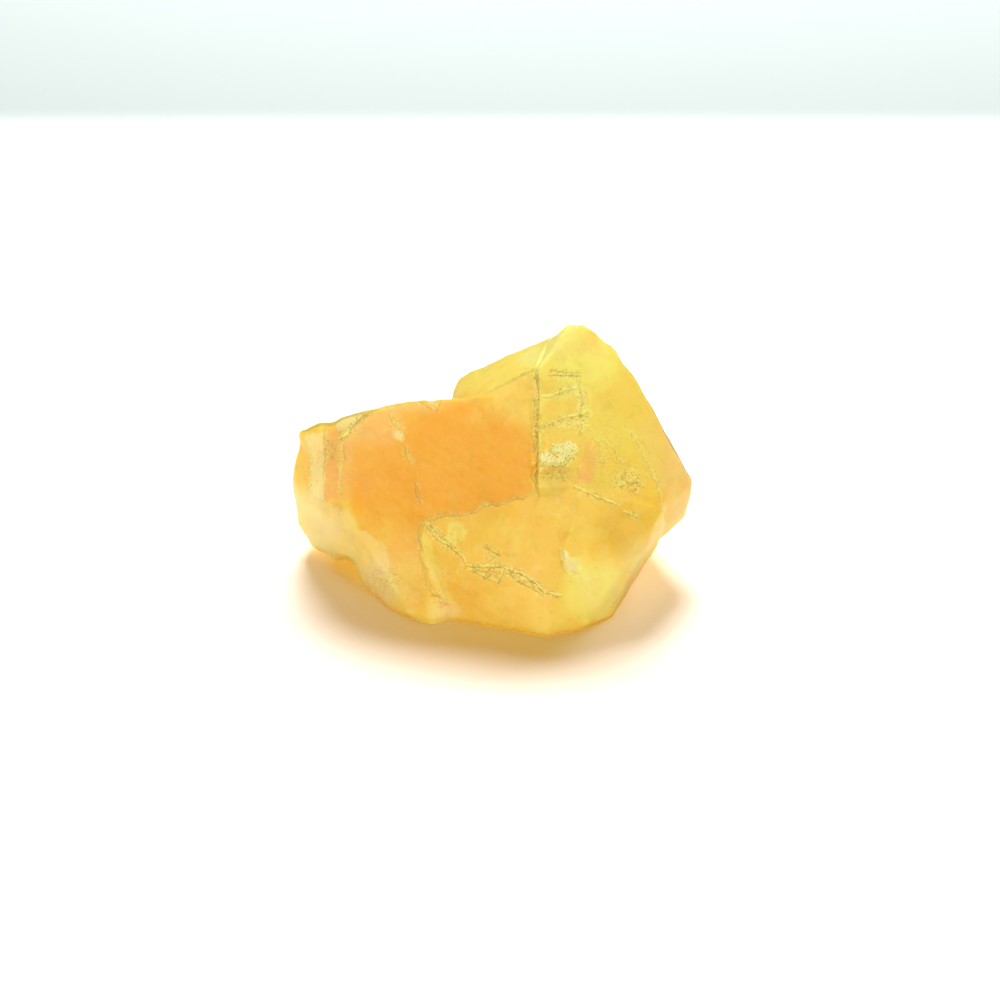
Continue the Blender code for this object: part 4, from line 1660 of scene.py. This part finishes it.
class Shader:
    """A material's node tree, built from expressions."""

    TILE_BEND = 0.7              # bends in a tile's sides for each of its widths

    def __init__(self, name: str) -> None:
        """Start an empty tree with its output.

        Args:
            name: The material's name.
        """
        self.material = bpy.data.materials.new(name)
        self.material.use_nodes = True
        self.tree = self.material.node_tree
        self.tree.nodes.clear()
        self.output = self.tree.nodes.new("ShaderNodeOutputMaterial")

    def node(self, kind: str, settings: dict[str, Any], values: dict[Any, Any],
             result: int | str = 0) -> Wire:
        """Add a node, set it, and fill its sockets.

        Args:
            kind: The node's type.
            settings: Its properties, which are set first.
            values: Its sockets' values or Wires, by name or number.
            result: The output to return.

        Returns:
            The chosen output.
        """
        node = self.tree.nodes.new(kind)
        for name, setting in settings.items():
            setattr(node, name, setting)
        for name, value in values.items():
            if isinstance(value, Wire):
                self.tree.links.new(value.socket, node.inputs[name])
            else:
                node.inputs[name].default_value = value
        return Wire(self, node.outputs[result])

    def mask(self, name: str) -> Wire:
        """Read one of the mesh's masks."""
        return self.node("ShaderNodeAttribute", {"attribute_name": name}, {}, "Fac")

    def place(self) -> Wire:
        """The point's own place in the stone, in metres."""
        return self.node("ShaderNodeTexCoord", {}, {}, "Object")

    def noise(self, place: Wire, size: float, detail: float = 2.0, rough: float = 0.5,
              twist: float = 0.0) -> Wire:
        """Noise from 0 to 1, with the width of its widest cells in millimetres.

        Args:
            place: Where the noise is looked up.
            size: The width of its widest cells.
            detail: How many finer layers it has.
            rough: How strong they are.
            twist: How far it is bent.

        Returns:
            The noise.
        """
        return self.node("ShaderNodeTexNoise", {"noise_dimensions": "3D"},
                         {"Vector": place, "Scale": 1.0 / (size * MM), "Detail": detail,
                          "Roughness": rough, "Distortion": twist})

    def tiles(self, place: Wire, size: float) -> Wire:
        """Give each cell of a broken-up pattern its own even share, from 0 to 1.

        Args:
            place: Where the pattern is looked up.
            size: How wide a cell is, in millimetres.

        Returns:
            The cell's share.
        """
        bent = self.node("ShaderNodeTexNoise", {"noise_dimensions": "3D"},
                         {"Vector": place, "Scale": self.TILE_BEND / (size * MM),
                          "Detail": 3.0}, 1)
        moved = self.node("ShaderNodeVectorMath", {"operation": "MULTIPLY_ADD"},
                          {0: bent, 1: (size * MM,) * 3, 2: place})
        cells = self.node("ShaderNodeTexVoronoi", {"feature": "F1"},
                          {"Vector": moved, "Scale": 1.0 / (size * MM)}, "Color")
        return self.node("ShaderNodeSeparateXYZ", {}, {"Vector": cells}, "X")

    def mix(self, share: Any, low: Any, high: Any) -> Wire:
        """Mix two colours, each a Wire or red, green, blue and alpha.

        Args:
            share: How much of the second colour shows.
            low: The first colour.
            high: The second colour.

        Returns:
            The mixed colour.
        """
        return self.node("ShaderNodeMix", {"data_type": "RGBA", "blend_type": "MIX",
                                           "clamp_factor": True},
                         {0: share, 6: low, 7: high}, 2)

    def washed(self, colour: Any, *washes: tuple[Any, Any]) -> Wire:
        """Lay thin colours over a colour one after another, each by its own share.

        Args:
            colour: What they are laid over.
            washes: Each one's share and colour.

        Returns:
            The last colour.
        """
        for share, wash in washes:
            colour = self.mix(share, colour, wash)
        return colour

    def finish(self, surface: Wire) -> bpy.types.Material:
        """Lead the finished surface to the output, and return the material."""
        self.tree.links.new(surface.socket, self.output.inputs["Surface"])
        return self.material


class CalcitePatterns:
    """The noises that the stone's colour and polish share, and the masks that they break up."""

    CUT_EDGE = 0.12              # how softly a crisp patch ends, in millimetres
    WIDE_EDGE = 0.35             # how softly it ends where it lies on a cloud of its own tone

    def __init__(self, shader: Shader) -> None:
        """Add the noises, from the widest to the finest.

        Args:
            shader: The material that they are added to.
        """
        place = shader.place()
        self.shader = shader
        self.cloud = shader.noise(place, 8.0, 3.0, 0.55, 0.6)
        self.wisp = shader.noise(place, 2.2, 4.0, 0.6, 1.2)
        self.tile = shader.tiles(place, 3.4)
        self.coarse = shader.noise(place, 1.6, 3.0, 0.55, 0.4)
        self.broken = shader.noise(place, 1.3, 2.0, 0.6, 0.5)
        self.jitter = shader.noise(place, 0.6, 3.0, 0.7) - 0.5
        self.speck = shader.noise(place, 0.45, 3.0, 0.65, 1.5)
        self.fine = shader.noise(place, 0.35, 4.0, 0.65)
        self.grain = shader.mask("grain")
        # painted glint and sparkle: the glinting breaks drawn pale, softly and crisply
        self.glint = shader.mask("glint")
        self.sparkle = self.cut(Tone.GLINT)

    def cut(self, tone: Tone, soft: float = CUT_EDGE) -> Wire:
        """Draw a tone's crisp patches, with fine noise along their outlines."""
        inside = (self.shader.mask(f"{tone.value}_cut") + self.jitter * 0.6).step(-soft, soft)
        return inside * self.shader.mask(f"{tone.value}_rate")

    def both(self, tone: Tone) -> Wire:
        """Lay a tone's crisp patches over its clouds."""
        wide = self.shader.mask(tone.value)
        return wide + (1.0 - wide) * self.cut(tone, self.WIDE_EDGE)

    def cracks(self) -> dict[str, Wire]:
        """Draw the cracks from each point's distance above its nearest one, in millimetres.

        Returns:
            The dark cracks with their broken twins, the painted highlight on the lips above
            them, the crumbs along both sides, whose bright specks are painted sparkle, and the
            painted shade that reaches a little above them.
        """
        sums: dict[str, Any] = {"crack": 0.0, "lip": 0.0, "crumb": 0.0, "painted_crack_shade": 0.0}
        for layer in LAYERS:
            above = self.shader.mask(layer) + self.jitter * 0.45
            dark, bright = self.shader.mask(f"{layer}_dark"), self.shader.mask(f"{layer}_lip")
            line = above.step(-0.13, -0.03) * above.step(0.09, 0.0)
            twin = above.step(0.34, 0.42) * above.step(0.56, 0.48) * self.broken.step(0.5, 0.6)
            # the lip gets a painted highlight, and the last share is painted shade just above the
            # crack
            for name, share in (
                    ("crack", dark * (line + twin * 0.5)),
                    ("lip", bright * (above.step(0.04, 0.14) * above.step(0.5, 0.25))),
                    ("crumb", bright * (above.step(-0.7, -0.2) * above.step(0.85, 0.4))),
                    ("painted_crack_shade", dark * above.step(-0.3, 0.0) * above.step(0.8, 0.1))):
                sums[name] = share + sums[name]
        drawn = {name: total.clamped() for name, total in sums.items()}
        drawn["crack"] *= self.broken.step(0.42, 0.56) * 0.8 + 0.2
        drawn["lip"] *= self.broken.step(0.6, 0.42) * 0.8 + 0.2
        drawn["crumb"] *= self.broken.step(0.36, 0.5)
        return drawn


@dataclass(frozen=True)
class CalciteFinish:
    """Honey-orange calcite: waxy, cloudy, and lit through from behind."""

    honey: Colour = (0.92, 0.61, 0.075, 1.0)
    amber: Colour = (0.92, 0.44, 0.022, 1.0)
    apricot: Colour = (0.95, 0.44, 0.095, 1.0)
    lemon: Colour = (0.94, 0.85, 0.18, 1.0)
    cream: Colour = (0.93, 0.80, 0.34, 1.0)
    # the colours of painted highlights: pale for edges and sparkle, yellow for glints, lips and
    # bright specks
    highlight_pale: Colour = (0.92, 0.95, 0.52, 1.0)
    highlight_yellow: Colour = (0.93, 0.89, 0.26, 1.0)
    olive: Colour = (0.44, 0.36, 0.04, 1.0)
    rust: Colour = (0.58, 0.28, 0.02, 1.0)
    bark: Colour = (0.46, 0.26, 0.01, 1.0)
    roughness: float = 0.42
    scatter: float = 4.5         # millimetres that red light spreads under the surface
    spread: Place = (1.0, 0.42, 0.10)    # how far each colour of light spreads, as a share
    depth: float = 0.85          # how much of the light goes under the surface
    ior: float = 1.49
    gloss: float = 0.4
    bump: float = 0.55
    bump_height: float = 0.12    # millimetres

    def inner(self, patterns: CalcitePatterns) -> Wire:
        """Grade the stone's own tones into each other, and cloud them.

        Args:
            patterns: The noises and masks to draw with.

        Returns:
            The colour of unbroken calcite.
        """
        shader, both = patterns.shader, patterns.both
        amber = shader.mask("amber") * (patterns.cut(Tone.AMBER) * 0.85 + 0.15)
        calm = 1.0 - amber * 0.65
        return shader.washed(
            self.honey,
            (amber, self.amber),
            (both(Tone.APRICOT), self.apricot),
            (both(Tone.LEMON), self.lemon),
            (both(Tone.CREAM), self.cream),
            (patterns.cloud.step(0.52, 0.75) * calm * 0.3, self.lemon),
            (patterns.cloud.step(0.48, 0.25) * 0.25, self.amber),
            (patterns.wisp.step(0.55, 0.75) * calm * 0.3, self.cream),
            (patterns.wisp.step(0.45, 0.25) * 0.2, self.olive),
            (patterns.tile.step(0.5, 1.0) * calm * 0.12, self.lemon),
            (patterns.tile.step(0.5, 0.0) * 0.07, self.rust))

    def broken(self, patterns: CalcitePatterns, colour: Wire) -> Wire:
        """Paint a highlight along edges and sparkle on the glinting breaks, speckle the rough
        breaks, and paint shade into the hollows.

        Args:
            patterns: The noises and masks to draw with.
            colour: What they are laid over.

        Returns:
            The colour with its breaks.
        """
        shader, speck = patterns.shader, patterns.speck
        grain, glint, sparkle = patterns.grain, patterns.glint, patterns.sparkle
        return shader.washed(
            colour,
            # painted highlight along the edges
            (shader.mask("edge").step(0.2, 0.8) * 0.08, self.highlight_pale),
            (glint * speck.step(0.44, 0.56) * 0.8, self.highlight_yellow),
            (sparkle * 0.45, self.highlight_yellow),
            (sparkle * speck.step(0.46, 0.56) * 0.8, self.highlight_pale),
            ((glint + sparkle).clamped() * speck.step(0.44, 0.37) * 0.7, self.olive),
            # bright specks in the rough breaks: paler broken grains, with painted sparkle
            (grain * speck.step(0.54, 0.62) * 0.45, self.highlight_yellow),
            (grain * speck.step(0.50, 0.40) * 0.75, self.rust),
            # painted shade: hollows, seams, the foot and over-lit places darkened towards olive
            (shader.mask("shade") * 0.6, self.olive))

    def cracked(self, patterns: CalcitePatterns, colour: Wire, cracks: dict[str, Wire]) -> Wire:
        """Draw the cracks with the painted highlight on their lips, their crumbs and the painted
        shade above them, and the painted dark edge line.

        Args:
            patterns: The noises and masks to draw with.
            colour: What they are laid over.
            cracks: The cracks as the patterns draw them.

        Returns:
            The finished colour.
        """
        shader, speck = patterns.shader, patterns.speck
        return shader.washed(
            colour,
            # painted shade just above the cracks, painted sparkle in the bright crumbs, painted
            # highlight on the lips
            (cracks["painted_crack_shade"] * 0.25, self.rust),
            (cracks["crumb"] * speck.step(0.5, 0.57) * 0.8, self.highlight_yellow),
            (cracks["crumb"] * speck.step(0.46, 0.39) * 0.7, self.olive),
            (cracks["lip"] * 0.85, self.highlight_yellow),
            (cracks["crack"] * 0.7, self.bark),
            # painted shade: a dark line along the crest edges
            (shader.mask("painted_edge_shade") * (patterns.broken * 0.6 + 0.3), self.olive))

    def build(self) -> bpy.types.Material:
        """Colour the stone, roughen its broken places, and let light in under its surface.

        Returns:
            The stone's material.
        """
        shader = Shader("calcite")
        patterns = CalcitePatterns(shader)
        cracks = patterns.cracks()
        grain, glint = patterns.grain, patterns.glint
        colour = self.broken(patterns, self.inner(patterns))
        colour = self.cracked(patterns, colour, cracks)
        relief = patterns.fine * (grain * 0.9 + glint * 0.7 + 0.1) + patterns.coarse * 0.35 \
            + cracks["lip"] * 0.25 - cracks["crack"] * 0.6
        bump = shader.node("ShaderNodeBump", {},
                           {"Strength": self.bump, "Distance": self.bump_height * MM,
                            "Height": relief})
        shine = (patterns.wisp * 0.16 + self.roughness - 0.08) + grain * 0.15 - glint * 0.12
        return shader.finish(shader.node(
            "ShaderNodeBsdfPrincipled", {"subsurface_method": "RANDOM_WALK"},
            {"Base Color": colour, "Roughness": shine, "IOR": self.ior, "Normal": bump,
             "Subsurface Weight": self.depth, "Subsurface Radius": self.spread,
             "Subsurface Scale": self.scatter * MM, "Specular IOR Level": self.gloss}))


@dataclass(frozen=True)
class FloorFinish:
    """White studio paper, a little cooler far behind the stone."""

    white: Colour = (0.93, 0.93, 0.93, 1.0)
    cool: Colour = (0.268, 0.297, 0.289, 1.0)
    fade: tuple[float, float] = (0.130, 0.165)   # metres behind the stone
    roughness: float = 0.9
    gloss: float = 0.1

    def build(self) -> bpy.types.Material:
        """Make the paper's material.

        Returns:
            The material.
        """
        shader = Shader("floor_paper")
        behind = shader.node("ShaderNodeSeparateXYZ", {}, {"Vector": shader.place()}, "Y")
        colour = shader.mix(behind.step(*self.fade), self.white, self.cool)
        return shader.finish(shader.node(
            "ShaderNodeBsdfPrincipled", {},
            {"Base Color": colour, "Roughness": self.roughness,
             "Specular IOR Level": self.gloss}))


# The studio

def group(name: str, item: bpy.types.Object) -> bpy.types.Collection:
    """Put one object in a collection of its own, for lamps to name.

    Args:
        name: The collection's name.
        item: What goes into it.

    Returns:
        The collection.
    """
    collection = bpy.data.collections.new(name)
    collection.objects.link(item)
    return collection


def aim(place: Any, target: Any) -> Matrix:
    """Work out the matrix that stands something at a place, looking at a target."""
    turn = (Vector(target) - Vector(place)).to_track_quat("-Z", "Y")
    return Matrix.Translation(Vector(place)) @ turn.to_matrix().to_4x4()


@dataclass(frozen=True)
class Lamp:
    """A soft disc of white light, aimed at the stone, for one of the things it can fall on."""

    name: str
    power: float                 # watts
    size: tuple[float, float]    # across and up
    bearing: float               # degrees from +X towards +Y
    rise: float                  # degrees above the floor
    distance: float = 0.6
    colour: tuple[float, float, float] = (1.0, 1.0, 1.0)

    AIM = (0.0, 0.0, 0.012)

    def build(self, lit: bpy.types.Collection | None) -> bpy.types.Object:
        """Hang the lamp.

        Args:
            lit: What it falls on, or None for everything.

        Returns:
            The lamp.
        """
        light = bpy.data.lights.new(self.name, "AREA")
        light.shape = "ELLIPSE"
        light.size, light.size_y = self.size
        light.energy = self.power
        light.color = self.colour
        flat, up = math.radians(self.bearing), math.radians(self.rise)
        way = Vector((math.cos(flat) * math.cos(up), math.sin(flat) * math.cos(up), math.sin(up)))
        lamp = bpy.data.objects.new(self.name, light)
        lamp.matrix_world = aim(Vector(self.AIM) + self.distance * way, self.AIM)
        bpy.context.scene.collection.objects.link(lamp)
        if lit is not None:
            lamp.light_linking.receiver_collection = lit
        return lamp


@dataclass(frozen=True)
class Studio:
    """A pale floor, soft light from behind and above, and the camera."""

    floor_side: float = 6.0
    floor_gap: float = 0.00005
    sky: float = 0.06
    floor_lamps: tuple[Lamp, ...] = (
        Lamp("floor_light", 8.2, (0.36, 0.18), bearing=93.0, rise=42.0),
        Lamp("right_light", 2.0, (0.22, 0.14), bearing=48.0, rise=23.0),
        Lamp("left_light", 0.7, (0.22, 0.14), bearing=132.0, rise=25.0))
    stone_lamps: tuple[Lamp, ...] = (
        Lamp("back_light", 1.85, (0.3, 0.3), bearing=85.0, rise=48.0),
        Lamp("top_light", 2.2, (0.5, 0.5), bearing=-80.0, rise=80.0),
        Lamp("front_light", 1.4, (0.5, 0.5), bearing=-95.0, rise=35.0))
    glow_power: float = 0.075
    glow_radius: float = 0.008
    glow_place: Place = (0.001, -0.010, 0.060)
    glow_colour: tuple[float, float, float] = (1.0, 0.53, 0.05)
    camera_rise: float = 35.0
    camera_distance: float = 0.30
    camera_target: Place = (0.0, 0.0, 0.014)
    lens: float = 72.0           # millimetres
    sensor: float = 36.0         # millimetres
    nearest: float = 0.01        # metres in front of the camera where its view starts
    shift: tuple[float, float] = (0.008, -0.018)

    def floor(self) -> bpy.types.Object:
        """Lay the floor just under the stone.

        Returns:
            The floor.
        """
        half = self.floor_side / 2
        corners = [(x * half, y * half, -self.floor_gap)
                   for x, y in ((-1, -1), (1, -1), (1, 1), (-1, 1))]
        mesh = bpy.data.meshes.new("floor")
        mesh.from_pydata(corners, [], [(0, 1, 2, 3)])
        mesh.materials.append(FloorFinish().build())
        floor = bpy.data.objects.new("floor", mesh)
        bpy.context.scene.collection.objects.link(floor)
        return floor

    def world(self) -> None:
        """Fill the scene with even white light."""
        world = bpy.data.worlds.new("studio_sky")
        world.use_nodes = True
        background = world.node_tree.nodes["Background"]
        background.inputs["Color"].default_value = (1.0, 1.0, 1.0, 1.0)
        background.inputs["Strength"].default_value = self.sky
        bpy.context.scene.world = world

    def glow(self, lit: bpy.types.Collection) -> bpy.types.Object:
        """Hang a warm light over the stone for the floor alone: the light that gets through it.

        Args:
            lit: What the light falls on and is blocked by.

        Returns:
            The light.
        """
        light = bpy.data.lights.new("through_light", "POINT")
        light.energy = self.glow_power
        light.color = self.glow_colour
        light.shadow_soft_size = self.glow_radius
        lamp = bpy.data.objects.new("through_light", light)
        lamp.location = self.glow_place
        bpy.context.scene.collection.objects.link(lamp)
        lamp.light_linking.receiver_collection = lit
        lamp.light_linking.blocker_collection = lit
        return lamp

    def camera(self) -> bpy.types.Object:
        """Stand the camera in front of the main face, looking down at the stone.

        Returns:
            The camera.
        """
        rise = math.radians(self.camera_rise)
        target = Vector(self.camera_target)
        place = target + self.camera_distance * Vector((0.0, -math.cos(rise), math.sin(rise)))
        lens = bpy.data.cameras.new("camera")
        lens.lens = self.lens
        lens.sensor_width = self.sensor
        lens.shift_x, lens.shift_y = self.shift
        lens.clip_start = self.nearest
        camera = bpy.data.objects.new("camera", lens)
        camera.matrix_world = aim(place, target)
        bpy.context.scene.collection.objects.link(camera)
        bpy.context.scene.camera = camera
        return camera

    def build(self, stone: bpy.types.Object) -> None:
        """Set the whole studio up around the stone.

        Args:
            stone: What the lamps are balanced for, apart from the floor.
        """
        on_floor = group("lit_floor", self.floor())
        on_stone = group("lit_stone", stone)
        self.world()
        for lamps, lit in ((self.floor_lamps, on_floor), (self.stone_lamps, on_stone)):
            for lamp in lamps:
                lamp.build(lit)
        self.glow(on_floor)
        self.camera()
        bpy.context.scene.view_settings.view_transform = "Standard"


def main() -> None:
    """Build the stone and the studio round it."""
    logging.basicConfig(level=logging.INFO, format="%(name)s: %(message)s")
    stone = Stone().build()
    stone.data.materials.append(CalciteFinish().build())
    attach(stone, BODY)
    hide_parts(NODE)
    log.info("%s: %d points", stone.name, len(stone.data.vertices))
    Studio().build(stone)
    log.info("studio set up")


if __name__ == "__main__":
    main()
